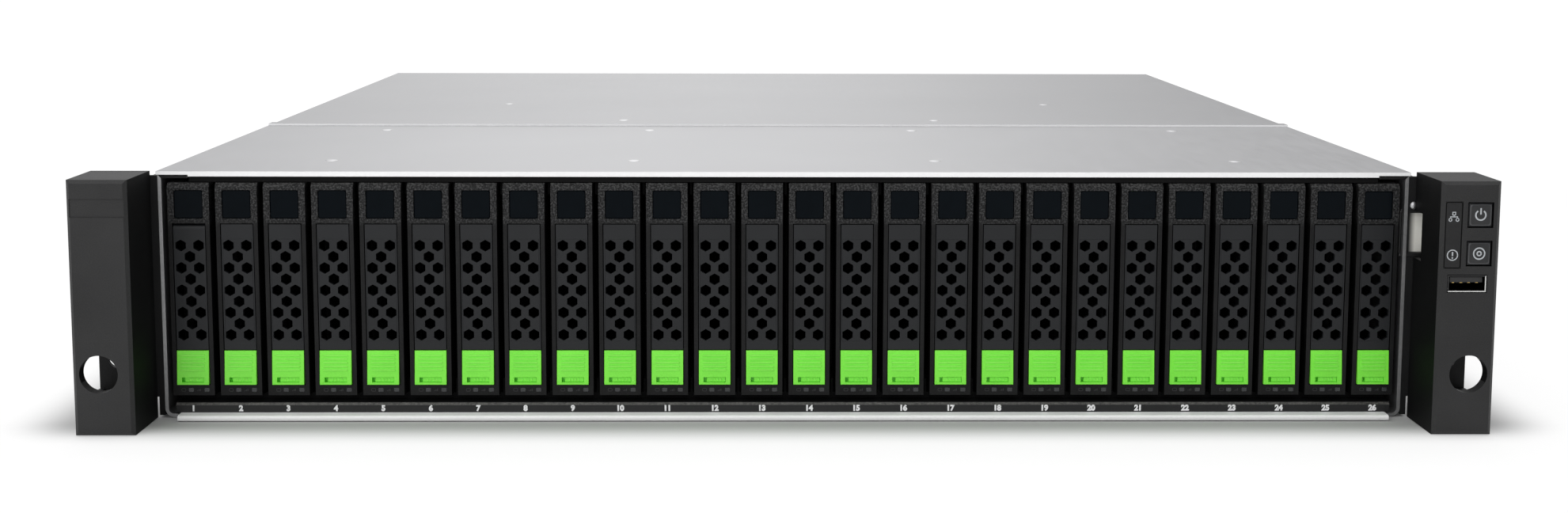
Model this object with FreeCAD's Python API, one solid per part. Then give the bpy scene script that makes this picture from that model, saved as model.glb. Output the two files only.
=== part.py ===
"""Two-unit rack storage array: a sheet steel chassis with 26 upright drive trays behind two moulded
rack ears, and two controllers and two power modules that slide in from the rear.

Frame: millimetres, +X to the right seen from the front, +Y to the rear, +Z up.
The origin is under the middle of the whole array, on the surface that it stands on.
"""
import math
import os

import FreeCAD, Part

V = FreeCAD.Vector

# Overall sizes: the 19 inch rack panel, the chassis between its ears, and what reaches past its two ends
PANEL_WIDTH = 482.6
RACK_HOLE_INSET = 8.75
RACK_HOLE_SPACING = PANEL_WIDTH - 2 * RACK_HOLE_INSET
RACK_HOLE_Z = 21.2
EAR_OVERHANG = 22.3
CHASSIS_WIDTH = PANEL_WIDTH - 2 * EAR_OVERHANG
CHASSIS_HEIGHT = 88.0
CHASSIS_DEPTH = 491.0
EAR_REACH = 27.5
REAR_REACH = 11.5
FRONT = EAR_REACH - (EAR_REACH + CHASSIS_DEPTH + REAR_REACH) / 2
REAR = FRONT + CHASSIS_DEPTH
EAR_FRONT = FRONT - EAR_REACH

# Clearances
SLIDE_GAP = 0.3
BUTTON_GAP = 0.25
PIN_GAP = 0.05

# Chassis sheet
SHEET = 1.2
WALL_INSET = 0.6
WALL_X = CHASSIS_WIDTH / 2 - WALL_INSET
INSIDE_X = WALL_X - SHEET
FOLD_RADIUS = 3.0
LAP_HEIGHT = 0.8
COVER_TOP = CHASSIS_HEIGHT - LAP_HEIGHT
FLANGE_TOP = COVER_TOP - SHEET
COVER_LIP = 0.6
FLANGE_WIDTH = 9.0
MOUTH_WIDTH = 2 * (INSIDE_X - FLANGE_WIDTH)
COVER_SPLIT = FRONT + 0.3534 * CHASSIS_DEPTH
LAP_FRONT = 6.0
SEAM = 0.3
LIP_REACH = 7.0
LIP_HEIGHT = 2.0
LIP_INSET = 6.0

# Drive bays
TRAY_COUNT = 26
BAY_MARGIN = 0.75
TRAY_PITCH = 2 * (INSIDE_X - BAY_MARGIN) / TRAY_COUNT
TRAY_GAP = 2.15
TRAY_WIDTH = TRAY_PITCH - TRAY_GAP
TRAY_BOTTOM = 7.8
TRAY_HEADROOM = 2.9
TRAY_TOP = FLANGE_TOP - TRAY_HEADROOM
RAIL_HEIGHT = 2.75
DRIVE_GAP = 1.65
DRIVE_WIDTH = TRAY_PITCH - DRIVE_GAP
DRIVE_HEIGHT = TRAY_TOP - TRAY_BOTTOM - 2 * RAIL_HEIGHT
DRIVE_LENGTH = 100.4
DRIVE_SETBACK = 30.0
BEZEL_DEPTH = 12.0
BEZEL_CROWN = 1.4
MIDPLANE_THICKNESS = 3.0
MIDPLANE_INSET = 2.0
PLUG_LENGTH = 9.0
PLUG_WIDTH = 6.0
PLUG_HEIGHT = 42.0
MIDPLANE_Y = FRONT + DRIVE_SETBACK + DRIVE_LENGTH + PLUG_LENGTH + SLIDE_GAP
GUIDE_SETBACK = 6.0
RIB_WIDTH = 0.9
RIB_HEIGHT = 5.0
STRIP_TOP = 5.4
STRIP_REACH = 1.5
STRIP_BEVEL = 0.8

# Tray front: window, lever with its hexagon vents, latch and lock
WINDOW_MARGIN = 2.25
WINDOW = TRAY_WIDTH - 2 * WINDOW_MARGIN
WINDOW_Z = TRAY_TOP - 7.5
WINDOW_DEPTH = 0.8
LEVER_MARGIN = 1.7
LEVER_WIDTH = TRAY_WIDTH - 2 * LEVER_MARGIN
LEVER_BOTTOM = 24.1
LEVER_TOP = TRAY_TOP - 14.5
LEVER_THICKNESS = 1.8
LEVER_SETBACK = 0.2
HEX_ROWS = 9
HEX_ACROSS = 0.324 * LEVER_WIDTH
HEX_SIDE = 0.28 * LEVER_WIDTH
HEX_DROP = 7.5
HEX_TOP_Z = LEVER_TOP - HEX_DROP
HEX_RISE = 5.3
HEX_BOTTOM_Z = LEVER_BOTTOM + HEX_RISE
HEX_ROW_PITCH = (HEX_TOP_Z - HEX_BOTTOM_Z) / (HEX_ROWS - 1)
VENT_MARGIN = 0.2
KNUCKLE_RADIUS = 1.7
KNUCKLE_PIN_RADIUS = 0.8
LATCH_BOTTOM = 11.8
LATCH_TOP = LEVER_BOTTOM - SLIDE_GAP
LATCH_DEPTH = 5.0
LATCH_FLARE = 1.1
LATCH_FOOT = 1.0
LATCH_TRAVEL = 1.5
LOCK_SLOT_WIDTH = 0.7 * LEVER_WIDTH
LOCK_HEIGHT = 1.8
LOCK_Z = 13.5
LOCK_DEPTH = 1.2
LOCK_TRAVEL = 1.0
LOCK_GAP = 0.1

# Rack ears and their steel brackets
BRACKET = 2.0
EAR_GAP = 0.6
EAR_INNER_X = WALL_X + BRACKET + EAR_GAP
EAR_OUTER_X = PANEL_WIDTH / 2
EAR_MIDDLE_X = (EAR_INNER_X + EAR_OUTER_X) / 2
EAR_WIDTH = EAR_OUTER_X - EAR_INNER_X
EAR_BOTTOM = 0.0
EAR_DROP = 0.6
EAR_TOP = CHASSIS_HEIGHT - EAR_DROP
EAR_WALL = 2.0
EAR_FACE = 3.0
EAR_CHAMFER = 1.2
EAR_HOLE_RADIUS = 6.5
EAR_HOLE_DEPTH = 4.8
EAR_SIDE_WINDOW = 22.0
BADGE_MARGIN = 1.05
BADGE_HEIGHT = 6.3
BADGE_DROP = 9.5
BADGE_Z = EAR_TOP - BADGE_DROP
BADGE_DEPTH = 0.4
BRACKET_LENGTH = 27.0
BRACKET_BOTTOM = 0.7
BRACKET_TOP = FLANGE_TOP - SLIDE_GAP
BRACKET_NOTCH = 7.3
BRACKET_INSET = 0.3
RACK_SLOT_RADIUS = 3.5
RACK_SLOT_LENGTH = 11.0
STUD = 3.2
STUD_HEAD_ACROSS = 6.0
STUD_HEAD = 1.2
STUD_Z = (30.0, 50.0)
STUD_Y = FRONT + 17.0

# Control panel in the right ear
BUTTON_SIZE = 8.3
BUTTON_X = EAR_OUTER_X - 6.9
POWER_DROP = 11.4
POWER_Z = EAR_TOP - POWER_DROP
LOCATE_Z = POWER_Z - 13.15
BUTTON_FLANGE = 0.35
BUTTON_FLANGE_DEPTH = 1.2
BUTTON_TRAVEL = 1.2
BUTTON_STEM = 3.0
BUTTON_RECESS = 0.2
BUTTON_CHAMFER = 0.5
INDICATOR_INSET = 4.35
INDICATOR_X = EAR_INNER_X + INDICATOR_INSET
INDICATOR_WIDTH = 5.9
INDICATOR_DROP = 18.25
INDICATOR_Z = EAR_TOP - INDICATOR_DROP
INDICATOR_HEIGHT = 22.9
INDICATOR_DEPTH = 1.0
USB_X = EAR_MIDDLE_X - 0.4
USB_DROP = 34.9
USB_Z = EAR_TOP - USB_DROP
USB_WIDTH = 13.1
USB_HEIGHT = 5.7
USB_SHELL = 0.4
USB_TONGUE = 1.8
BOARD = 1.6
BOARD_BEHIND = 15.0
BOARD_Y = EAR_FRONT + BOARD_BEHIND
BOARD_HEIGHT = 40.5
BOARD_TOP = EAR_TOP - EAR_WALL - 0.4
BOARD_BOTTOM = BOARD_TOP - BOARD_HEIGHT
SWITCH_SIZE = 6.0
SWITCH_HEIGHT = 1.9
POST = 3.0

# Flat cable from the control panel to the midplane
CABLE_HEIGHT = 14.6
CABLE_DROP = 21.9
CABLE_Z = EAR_TOP - CABLE_DROP
CABLE = 0.4
CABLE_Y = FRONT + 3.0
CABLE_X = INSIDE_X - 0.6
CABLE_BOARD_INSET = 8.0
CABLE_BOARD_X = EAR_INNER_X + CABLE_BOARD_INSET
CABLE_TAIL = 4.5
CABLE_WINDOW = CABLE_HEIGHT + 2.0

# Rear frame and controllers
FRAME_X = 0.5184 * INSIDE_X
FRAME_SHEET = 1.0
FRAME_LENGTH = 0.489 * CHASSIS_DEPTH
SHELF_Z = FLANGE_TOP / 2 + 0.6
MODULE_GAP = 10.0
MODULE_LENGTH = FRAME_LENGTH - MODULE_GAP
MODULE_SHEET = 1.0
MODULE_FACE = 2.0
TUB_DROP = 6.0
PORT_SHELL = 0.5
CONTROLLER_BOARD_Z = 4.0
BOARD_SETBACK = 4.0
LEDGE = 6.0
RJ_SIZE = (16.2, 13.6, 17.0)
SAS_SIZE = (17.0, 8.2, 20.0)
RJ_INSET = 20.6
RJ_PITCH = 19.0
RJ_X = tuple(RJ_INSET + RJ_PITCH * k - FRAME_X for k in range(3))
SAS_INSET = 86.6
SAS_PITCH = 21.0
SAS_X = tuple(SAS_INSET + SAS_PITCH * k - FRAME_X for k in range(2))
SLOT_INSET = 50.6
SLOT_X = FRAME_X - SLOT_INSET
SLOT_MARGIN = 34.6
SLOT_WIDTH = FRAME_X - SLOT_MARGIN
SLOT_HEIGHT = 15.0
SLOT_COVER = 0.8
SLOT_Z = 8.0
SINK_WIDTH = 80.0
SINK_LENGTH = 70.0
SINK_HEIGHT = 20.0
SINK_BASE = 5.0
SINK_Y = REAR - 0.6 * MODULE_LENGTH
SINK_GROOVES = 6
SINK_GROOVE = 7.0
BAR_INSET = 8.6
BAR_X = FRAME_X - BAR_INSET
BAR_MARGIN = 20.6
BAR_LENGTH = FRAME_X - BAR_MARGIN
BAR_HEIGHT = 6.0
BAR_DEPTH = 5.0
BAR_DROP = 10.8
BAR_TAB = 12.0
BAR_PIN_RADIUS = 1.5
BAR_LUG_WIDTH = 8.0
BAR_LUG = 1.7

# Power modules
POWER_BAY = INSIDE_X - FRAME_X - FRAME_SHEET
FAN_X = FRAME_X + FRAME_SHEET + 0.377 * POWER_BAY
FAN_Z = FLANGE_TOP / 2
FAN_RADIUS = 0.29 * POWER_BAY
FAN_DEPTH = 22.0
FAN_HUB_RADIUS = 0.45 * FAN_RADIUS
FAN_HUB_LENGTH = 18.0
FAN_SHAFT_RADIUS = 2.0
FAN_BLADES = 7
FAN_BLADE = 1.4
FAN_CHORD = 0.36 * FAN_RADIUS
FAN_TWIST = 35.0
FAN_SETBACK = 8.0
FAN_STAY = 2.0
GRILLE_SLOTS = 9
GRILLE_PITCH = 2 * FAN_RADIUS / 8.6
GRILLE_SLOT = 0.63 * GRILLE_PITCH
BAIL_BAR = 4.5
BAIL_WIDTH = 2 * FAN_RADIUS + 7.5
BAIL_CORNER = 7.0
BAIL_HEAD = 0.2 * BAIL_BAR
BAIL_DROP = 9.0
BAIL_Z = FLANGE_TOP - BAIL_DROP
BAIL_FOOT = 9.0
BAIL_AXIS_Y = 2.8
BAIL_PIN_RADIUS = 1.4
LUG = 3.0
INLET_INSET = 14.7
INLET_X = INSIDE_X - INLET_INSET
INLET_Z = 27.0
INLET_SIZE = (24.0, 19.0, 16.0)
INLET_WALL = 2.0
INLET_BLADE = 2.0
INLET_BLADE_SETBACK = 4.0
ROCKER_DROP = 26.0
ROCKER_Z = FLANGE_TOP - ROCKER_DROP
ROCKER_SIZE = (13.0, 19.0)
ROCKER_DEPTH = 9.0
ROCKER_BODY = 6.0
ROCKER_RIM = 2.0
ROCKER_PROUD = 2.0
ROCKER_SWING = 2.3
ROCKER_PIN_RADIUS = 1.2
CORE_MARGIN = 8.0
CORE_HEADROOM = 12.0
CORE_FRONT = 20.0
CORE_REAR = 70.0
BACKPLUG = (50.0, 8.0, 30.0)
BACKPLUG_Z = 35.0


def block(xs, ys, zs):
    """A box from pairs of limits along X, Y and Z, in either order."""
    low = V(min(xs), min(ys), min(zs))
    high = V(max(xs), max(ys), max(zs))
    size = high - low
    return Part.makeBox(size.x, size.y, size.z, low)


def centred(x, width):
    """The two limits of a width centred on x."""
    return (x - width / 2, x + width / 2)


def rod(start, direction, radius, length):
    """A round bar from start along direction."""
    return Part.makeCylinder(radius, length, start, direction)


def extrude(points, direction):
    """A prism of a closed polygon."""
    loop = Part.makePolygon(points + points[:1])
    return Part.Face(loop).extrude(direction)


def mirrored(shape):
    """The same piece on the other side of the array."""
    return shape.mirror(V(0, 0, 0), V(1, 0, 0))


def join(*shapes):
    """One solid from pieces that share volume or faces."""
    return shapes[0].fuse(list(shapes[1:])).removeSplitter()


def slot_cutter(x, y, z, length, radius, depth):
    """A slot with round ends, long in X, cut along +Y from y."""
    half = length / 2 - radius
    ends = [rod(V(x + side * half, y, z), V(0, 1, 0), radius, depth) for side in (-1, 1)]
    middle = block((x - half, x + half), (y, y + depth), (z - radius, z + radius))
    return join(middle, *ends)


def save(node, *shapes):
    """Writes one node, as one solid or as a group of separate solids."""
    shape = shapes[0] if len(shapes) == 1 else Part.makeCompound(list(shapes))
    shape.exportStep(f"parts/{node}.step")


# Chassis: one folded sheet with floor, walls and inward top flanges, and its two covers
def chassis_base():
    depth = (FRONT, REAR)
    outside = block((-WALL_X, WALL_X), depth, (0, FLANGE_TOP))
    inside = block((-INSIDE_X, INSIDE_X), depth, (SHEET, FLANGE_TOP - SHEET))
    folds = [e for e in outside.Edges if e.CenterOfMass.z < 1e-6 and abs(e.CenterOfMass.x) > 1]
    outside = outside.makeFillet(FOLD_RADIUS, folds)
    inner_folds = [
        e for e in inside.Edges
        if abs(e.CenterOfMass.z - SHEET) < 1e-6 and abs(e.CenterOfMass.x) > 1
    ]
    inside = inside.makeFillet(FOLD_RADIUS - SHEET, inner_folds)
    mouth = block(centred(0, MOUTH_WIDTH), depth, (FLANGE_TOP - SHEET, FLANGE_TOP))
    lip = block((LIP_INSET - WALL_X, WALL_X - LIP_INSET), (FRONT - LIP_REACH, FRONT + SHEET), (0, LIP_HEIGHT))
    lip_edges = [e for e in lip.Edges if abs(e.CenterOfMass.y - (FRONT - LIP_REACH)) < 1e-6]
    lip = lip.makeFillet(LIP_HEIGHT / 2.2, [e for e in lip_edges if abs(e.CenterOfMass.x) < 1])
    shell = join(outside.cut([inside, mouth]), lip)
    cable_slot = block(
        (INSIDE_X - 1, WALL_X + 1),
        centred(CABLE_Y + CABLE / 2, 4 * CABLE),
        centred(CABLE_Z, CABLE_WINDOW),
    )
    return shell.cut([cable_slot] + [stud_hole(side, z) for side in (-1, 1) for z in STUD_Z])


def stud_hole(side, z):
    """A square hole through the bracket and the wall."""
    return block(
        (side * (INSIDE_X - 1), side * (WALL_X + BRACKET + 1)),
        centred(STUD_Y, STUD + 2 * PIN_GAP),
        centred(z, STUD + 2 * PIN_GAP),
    )


def bracket_stud(side, z):
    """A bolt with a square neck, which can't turn in the sheet, and a hexagon head outside."""
    face = WALL_X + BRACKET
    neck = block((side * INSIDE_X, side * face), centred(STUD_Y, STUD), centred(z, STUD))
    reach = STUD_HEAD_ACROSS / math.sqrt(3)
    turns = [math.radians(60 * k) for k in range(6)]
    corners = [V(side * face, STUD_Y + reach * math.cos(t), z + reach * math.sin(t)) for t in turns]
    return join(neck, extrude(corners, V(side * STUD_HEAD, 0, 0)))


def front_cover():
    """The front cover's edge is turned down a little between the flanges."""
    plate = block(centred(0, CHASSIS_WIDTH), (FRONT, COVER_SPLIT - SEAM), (FLANGE_TOP, COVER_TOP))
    lip = block(
        centred(0, MOUTH_WIDTH - 2 * SLIDE_GAP),
        (FRONT, FRONT + SHEET - SLIDE_GAP),
        (FLANGE_TOP - COVER_LIP, FLANGE_TOP),
    )
    return join(plate, lip)


def rear_cover():
    """The rear cover laps over the front one with a joggled edge."""
    plate = block(centred(0, CHASSIS_WIDTH), (COVER_SPLIT, REAR), (FLANGE_TOP, COVER_TOP))
    lap = block(
        centred(0, CHASSIS_WIDTH),
        (COVER_SPLIT - LAP_FRONT, COVER_SPLIT + SHEET),
        (COVER_TOP, CHASSIS_HEIGHT),
    )
    return join(plate, lap)


# Drive bays: guides above and below the trays, number strip and midplane
def tray_x(index):
    return (index - (TRAY_COUNT - 1) / 2) * TRAY_PITCH


def guide_ribs(low, high):
    """One thin rib between each pair of trays."""
    ys = (FRONT + GUIDE_SETBACK, MIDPLANE_Y)
    middles = [tray_x(i) + TRAY_PITCH / 2 for i in range(TRAY_COUNT - 1)]
    return [block(centred(x, RIB_WIDTH), ys, (low, high)) for x in middles]


def upper_guides():
    bottom = TRAY_TOP + SLIDE_GAP
    half = INSIDE_X - FLANGE_WIDTH - SLIDE_GAP
    plate = block((-half, half), (FRONT + SHEET, MIDPLANE_Y), (bottom, FLANGE_TOP))
    return [plate] + guide_ribs(bottom - RIB_HEIGHT, bottom)


def lower_guides():
    half = INSIDE_X - FOLD_RADIUS
    top = TRAY_BOTTOM - SLIDE_GAP
    plate = block((-half, half), (FRONT + GUIDE_SETBACK, MIDPLANE_Y), (SHEET, top))
    return [plate] + guide_ribs(top, top + RIB_HEIGHT)


def number_strip():
    """The moulded strip under the trays, with a bevelled upper edge."""
    half = INSIDE_X - FOLD_RADIUS
    nose = FRONT - STRIP_REACH
    profile = [
        V(-half, FRONT + GUIDE_SETBACK, LIP_HEIGHT),
        V(-half, nose, LIP_HEIGHT),
        V(-half, nose, STRIP_TOP - STRIP_BEVEL),
        V(-half, nose + STRIP_BEVEL, STRIP_TOP),
        V(-half, FRONT + GUIDE_SETBACK, STRIP_TOP),
    ]
    return extrude(profile, V(2 * half, 0, 0))


def midplane():
    """The board that every drive and rear module plugs into, with one socket for each drive."""
    half = INSIDE_X - MIDPLANE_INSET
    back = MIDPLANE_Y + MIDPLANE_THICKNESS
    board = block((-half, half), (MIDPLANE_Y, back), (SHEET, FLANGE_TOP - SHEET))
    ys = (MIDPLANE_Y - PLUG_LENGTH, MIDPLANE_Y)
    zs = centred(FAN_Z, PLUG_HEIGHT)
    return [board] + [block(centred(tray_x(i), PLUG_WIDTH), ys, zs) for i in range(TRAY_COUNT)]


# Drive tray: carrier with the bezel, drive, lever, latch and lock, made once at X = 0
def tray_carrier(with_pin):
    """Bezel frame with two rails: the middle is open for the lever and for air."""
    half = TRAY_WIDTH / 2
    back = FRONT + BEZEL_DEPTH
    bezel = block((-half, half), (FRONT, back), (TRAY_BOTTOM, TRAY_TOP))
    crown = [e for e in bezel.Edges
             if abs(e.CenterOfMass.y - FRONT) < 1e-6 and abs(e.CenterOfMass.z - TRAY_TOP) < 1e-6]
    bezel = bezel.makeChamfer(BEZEL_CROWN, crown)
    bay_x = (-LEVER_WIDTH / 2 - BUTTON_GAP, LEVER_WIDTH / 2 + BUTTON_GAP)
    vent = block(bay_x, (FRONT, back), (LEVER_BOTTOM, LEVER_TOP + SLIDE_GAP))
    pocket_floor = FRONT + LATCH_DEPTH + 2 * LATCH_TRAVEL
    pocket = block(bay_x, (FRONT, pocket_floor), (LATCH_BOTTOM - BUTTON_GAP, LEVER_BOTTOM))
    window = block(centred(0, WINDOW), (FRONT, FRONT + WINDOW_DEPTH), centred(WINDOW_Z, WINDOW))
    rail_end = FRONT + DRIVE_SETBACK + DRIVE_LENGTH
    rails = [
        block((-half, half), (back, rail_end), (TRAY_BOTTOM, TRAY_BOTTOM + RAIL_HEIGHT)),
        block((-half, half), (back, rail_end), (TRAY_TOP - RAIL_HEIGHT, TRAY_TOP)),
    ]
    carrier = join(bezel.cut([vent, pocket, window]), *rails)
    if with_pin:
        carrier = join(carrier, lever_pin(KNUCKLE_PIN_RADIUS, TRAY_WIDTH - 1))
    return carrier


def drive():
    start = FRONT + DRIVE_SETBACK
    low = TRAY_BOTTOM + RAIL_HEIGHT
    return block(centred(0, DRIVE_WIDTH), (start, start + DRIVE_LENGTH), (low, low + DRIVE_HEIGHT))


def knuckle_centre():
    return V(0, FRONT + LEVER_SETBACK + KNUCKLE_RADIUS, LEVER_TOP - KNUCKLE_RADIUS)


def lever_pin(radius, length):
    return rod(knuckle_centre() - V(length / 2, 0, 0), V(1, 0, 0), radius, length)


def hexagon(x, z):
    """An upright hexagon vent through the lever's face."""
    reach = HEX_ACROSS / math.sqrt(3)
    corners = [
        V(x + reach * math.sin(math.radians(60 * k)), FRONT - 1, z + reach * math.cos(math.radians(60 * k)))
        for k in range(6)
    ]
    return extrude(corners, V(0, LEVER_THICKNESS + 2, 0))


def lever_vents():
    """Rows of two and of one hexagon, in turn."""
    vents = []
    for row in range(HEX_ROWS):
        z = HEX_TOP_Z - row * HEX_ROW_PITCH
        places = (-HEX_SIDE, HEX_SIDE) if row % 2 == 0 else (0.0,)
        vents += [hexagon(x, z) for x in places]
    return vents


def vent_window():
    """The opening that holds a vented panel, just larger than the field of vents."""
    reach = HEX_ACROSS / math.sqrt(3) + VENT_MARGIN
    return block(
        centred(0, 2 * HEX_SIDE + HEX_ACROSS + 2 * VENT_MARGIN),
        (FRONT - 1, FRONT + LEVER_SETBACK + LEVER_THICKNESS + 1),
        (HEX_BOTTOM_Z - reach, HEX_TOP_Z + reach),
    )


def lever(pinned):
    """The first tray's lever has all its vents; the others have the window that holds them."""
    face = (FRONT + LEVER_SETBACK, FRONT + LEVER_SETBACK + LEVER_THICKNESS)
    plate = block(centred(0, LEVER_WIDTH), face, (LEVER_BOTTOM, LEVER_TOP - KNUCKLE_RADIUS * pinned))
    if not pinned:
        return plate.cut(vent_window())
    bore = lever_pin(KNUCKLE_PIN_RADIUS + PIN_GAP, LEVER_WIDTH + 2)
    return join(plate.cut(lever_vents()), lever_pin(KNUCKLE_RADIUS, LEVER_WIDTH)).cut(bore)


def latch():
    """Thumb latch whose face flares out towards its foot, with a slot for the lock."""
    profile = [
        V(-LEVER_WIDTH / 2, FRONT + LATCH_DEPTH, LATCH_TOP),
        V(-LEVER_WIDTH / 2, FRONT, LATCH_TOP),
        V(-LEVER_WIDTH / 2, FRONT - LATCH_FLARE, LATCH_BOTTOM + LATCH_FOOT),
        V(-LEVER_WIDTH / 2, FRONT - LATCH_FLARE, LATCH_BOTTOM),
        V(-LEVER_WIDTH / 2, FRONT + LATCH_DEPTH, LATCH_BOTTOM),
    ]
    body = extrude(profile, V(LEVER_WIDTH, 0, 0))
    slot = block(centred(0, LOCK_SLOT_WIDTH), (FRONT - 2, FRONT + LOCK_DEPTH), centred(LOCK_Z, LOCK_HEIGHT))
    return body.cut(slot)


def lock():
    """The slide in the latch that stops it from being pressed: it moves left to lock."""
    right = LOCK_SLOT_WIDTH / 2 - LOCK_GAP
    left = LOCK_TRAVEL + LOCK_GAP - LOCK_SLOT_WIDTH / 2
    ys = (FRONT - LATCH_FLARE / 2, FRONT + LOCK_DEPTH)
    return block((left, right), ys, centred(LOCK_Z, LOCK_HEIGHT - 2 * LOCK_GAP))


# Rack ears: steel brackets on the chassis walls, with hollow moulded caps
def bracket(with_cable):
    """Right-hand bracket: a side flange on the wall and a front flange for the rack screw."""
    edge = EAR_OUTER_X - BRACKET_INSET
    profile = [
        V(WALL_X, FRONT, BRACKET_BOTTOM),
        V(WALL_X, FRONT + BRACKET_LENGTH, BRACKET_BOTTOM),
        V(WALL_X + BRACKET, FRONT + BRACKET_LENGTH, BRACKET_BOTTOM),
        V(WALL_X + BRACKET, FRONT + BRACKET, BRACKET_BOTTOM),
        V(edge, FRONT + BRACKET, BRACKET_BOTTOM),
        V(edge, FRONT, BRACKET_BOTTOM),
    ]
    angle = extrude(profile, V(0, 0, BRACKET_TOP - BRACKET_BOTTOM))
    slot_x = RACK_HOLE_SPACING / 2
    cuts = [slot_cutter(slot_x, FRONT - 1, RACK_HOLE_Z, RACK_SLOT_LENGTH, RACK_SLOT_RADIUS, BRACKET + 2)]
    cuts.append(block((WALL_X + BRACKET, edge), (FRONT, FRONT + BRACKET), (BRACKET_BOTTOM, BRACKET_NOTCH)))
    cuts += [stud_hole(1, z) for z in STUD_Z]
    if with_cable:
        cuts.append(block(
            (WALL_X - 1, CABLE_BOARD_X + 3),
            (FRONT - 1, CABLE_Y + 3 * CABLE),
            centred(CABLE_Z, CABLE_WINDOW),
        ))
    return angle.cut(cuts)


def ear_shell():
    """Right-hand ear: a moulded cap, hollow behind, with a hole that reaches the rack screw."""
    cap = block((EAR_INNER_X, EAR_OUTER_X), (EAR_FRONT, FRONT), (EAR_BOTTOM, EAR_TOP))
    rim = [e for e in cap.Edges if abs(e.CenterOfMass.y - EAR_FRONT) < 1e-6]
    cap = cap.makeChamfer(EAR_CHAMFER, rim)
    inside_x = (EAR_INNER_X + EAR_WALL, EAR_OUTER_X - EAR_WALL)
    hollow = block(inside_x, (EAR_FRONT + EAR_FACE, FRONT), (EAR_BOTTOM + EAR_WALL, EAR_TOP - EAR_WALL))
    boss_y = (EAR_FRONT + EAR_FACE, EAR_FRONT + EAR_HOLE_DEPTH)
    boss = block(inside_x, boss_y, (EAR_BOTTOM + EAR_WALL, RACK_HOLE_Z + EAR_HOLE_RADIUS + EAR_WALL))
    hole_start = V(RACK_HOLE_SPACING / 2, EAR_FRONT - 1, RACK_HOLE_Z)
    hole = rod(hole_start, V(0, 1, 0), EAR_HOLE_RADIUS, EAR_HOLE_DEPTH + 2)
    side_window = block(
        (EAR_OUTER_X - EAR_WALL, EAR_OUTER_X),
        (EAR_FRONT + EAR_HOLE_DEPTH + BUTTON_GAP, FRONT),
        centred(RACK_HOLE_Z, EAR_SIDE_WINDOW),
    )
    return join(cap.cut(hollow), boss).cut([hole, side_window])


def left_ear():
    badge = block(
        centred(-EAR_MIDDLE_X, EAR_WIDTH - 2 * BADGE_MARGIN),
        (EAR_FRONT, EAR_FRONT + BADGE_DEPTH),
        centred(BADGE_Z, BADGE_HEIGHT),
    )
    return mirrored(ear_shell()).cut(badge)


def right_ear():
    """The ear with windows for the controls, and posts that carry their board."""
    through = (EAR_FRONT - 1, EAR_FRONT + EAR_FACE + 1)
    room = 2 * BUTTON_GAP
    key = BUTTON_SIZE + room
    cuts = [block(centred(BUTTON_X, key), through, centred(z, key)) for z in (POWER_Z, LOCATE_Z)]
    cuts.append(block(centred(USB_X, USB_WIDTH + room), through, centred(USB_Z, USB_HEIGHT + room)))
    cuts.append(block(
        centred(INDICATOR_X, INDICATOR_WIDTH),
        (EAR_FRONT, EAR_FRONT + INDICATOR_DEPTH),
        centred(INDICATOR_Z, INDICATOR_HEIGHT),
    ))
    cuts.append(block(
        (EAR_INNER_X - 1, EAR_INNER_X + EAR_WALL + 1),
        (FRONT - 8, FRONT),
        centred(CABLE_Z, CABLE_WINDOW),
    ))
    posts = [
        block(centred(USB_X, POST), (EAR_FRONT + EAR_FACE, BOARD_Y), centred(z, POST))
        for z in (BOARD_BOTTOM + POST / 2, BOARD_TOP - POST / 2)
    ]
    return join(ear_shell(), *posts).cut(cuts)


def panel_button(z):
    """A square key, held in its window by a flange, with a stem that works a switch."""
    cap_front = EAR_FRONT + BUTTON_RECESS
    flange_y = EAR_FRONT + EAR_FACE
    cap = block(centred(BUTTON_X, BUTTON_SIZE), (cap_front, flange_y), centred(z, BUTTON_SIZE))
    rim = [e for e in cap.Edges if abs(e.CenterOfMass.y - cap_front) < 1e-6]
    cap = cap.makeChamfer(BUTTON_CHAMFER, rim)
    flange_size = BUTTON_SIZE + 2 * (BUTTON_GAP + BUTTON_FLANGE)
    flange_ys = (flange_y, flange_y + BUTTON_FLANGE_DEPTH)
    flange = block(centred(BUTTON_X, flange_size), flange_ys, centred(z, flange_size))
    stem_end = BOARD_Y - SWITCH_HEIGHT - BUTTON_TRAVEL - 0.2
    stem = block(centred(BUTTON_X, BUTTON_STEM), (flange_y, stem_end), centred(z, BUTTON_STEM))
    return join(cap, flange, stem)


def indicator_window():
    return block(
        centred(INDICATOR_X, INDICATOR_WIDTH - 0.2),
        (EAR_FRONT + 0.1, EAR_FRONT + INDICATOR_DEPTH),
        centred(INDICATOR_Z, INDICATOR_HEIGHT - 0.2),
    )


def usb_socket():
    """A metal shell with its contact tongue, standing on the control board."""
    mouth = EAR_FRONT + BUTTON_RECESS
    shell = block(centred(USB_X, USB_WIDTH), (mouth, BOARD_Y), centred(USB_Z, USB_HEIGHT))
    cavity = block(
        centred(USB_X, USB_WIDTH - 2 * USB_SHELL),
        (mouth, BOARD_Y - USB_SHELL),
        centred(USB_Z, USB_HEIGHT - 2 * USB_SHELL),
    )
    tongue = block(
        centred(USB_X, USB_WIDTH - 2.0),
        (mouth + 1.0, BOARD_Y - USB_SHELL),
        (USB_Z + 0.3, USB_Z + 0.3 + USB_TONGUE),
    )
    return join(shell.cut(cavity), tongue)


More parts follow.
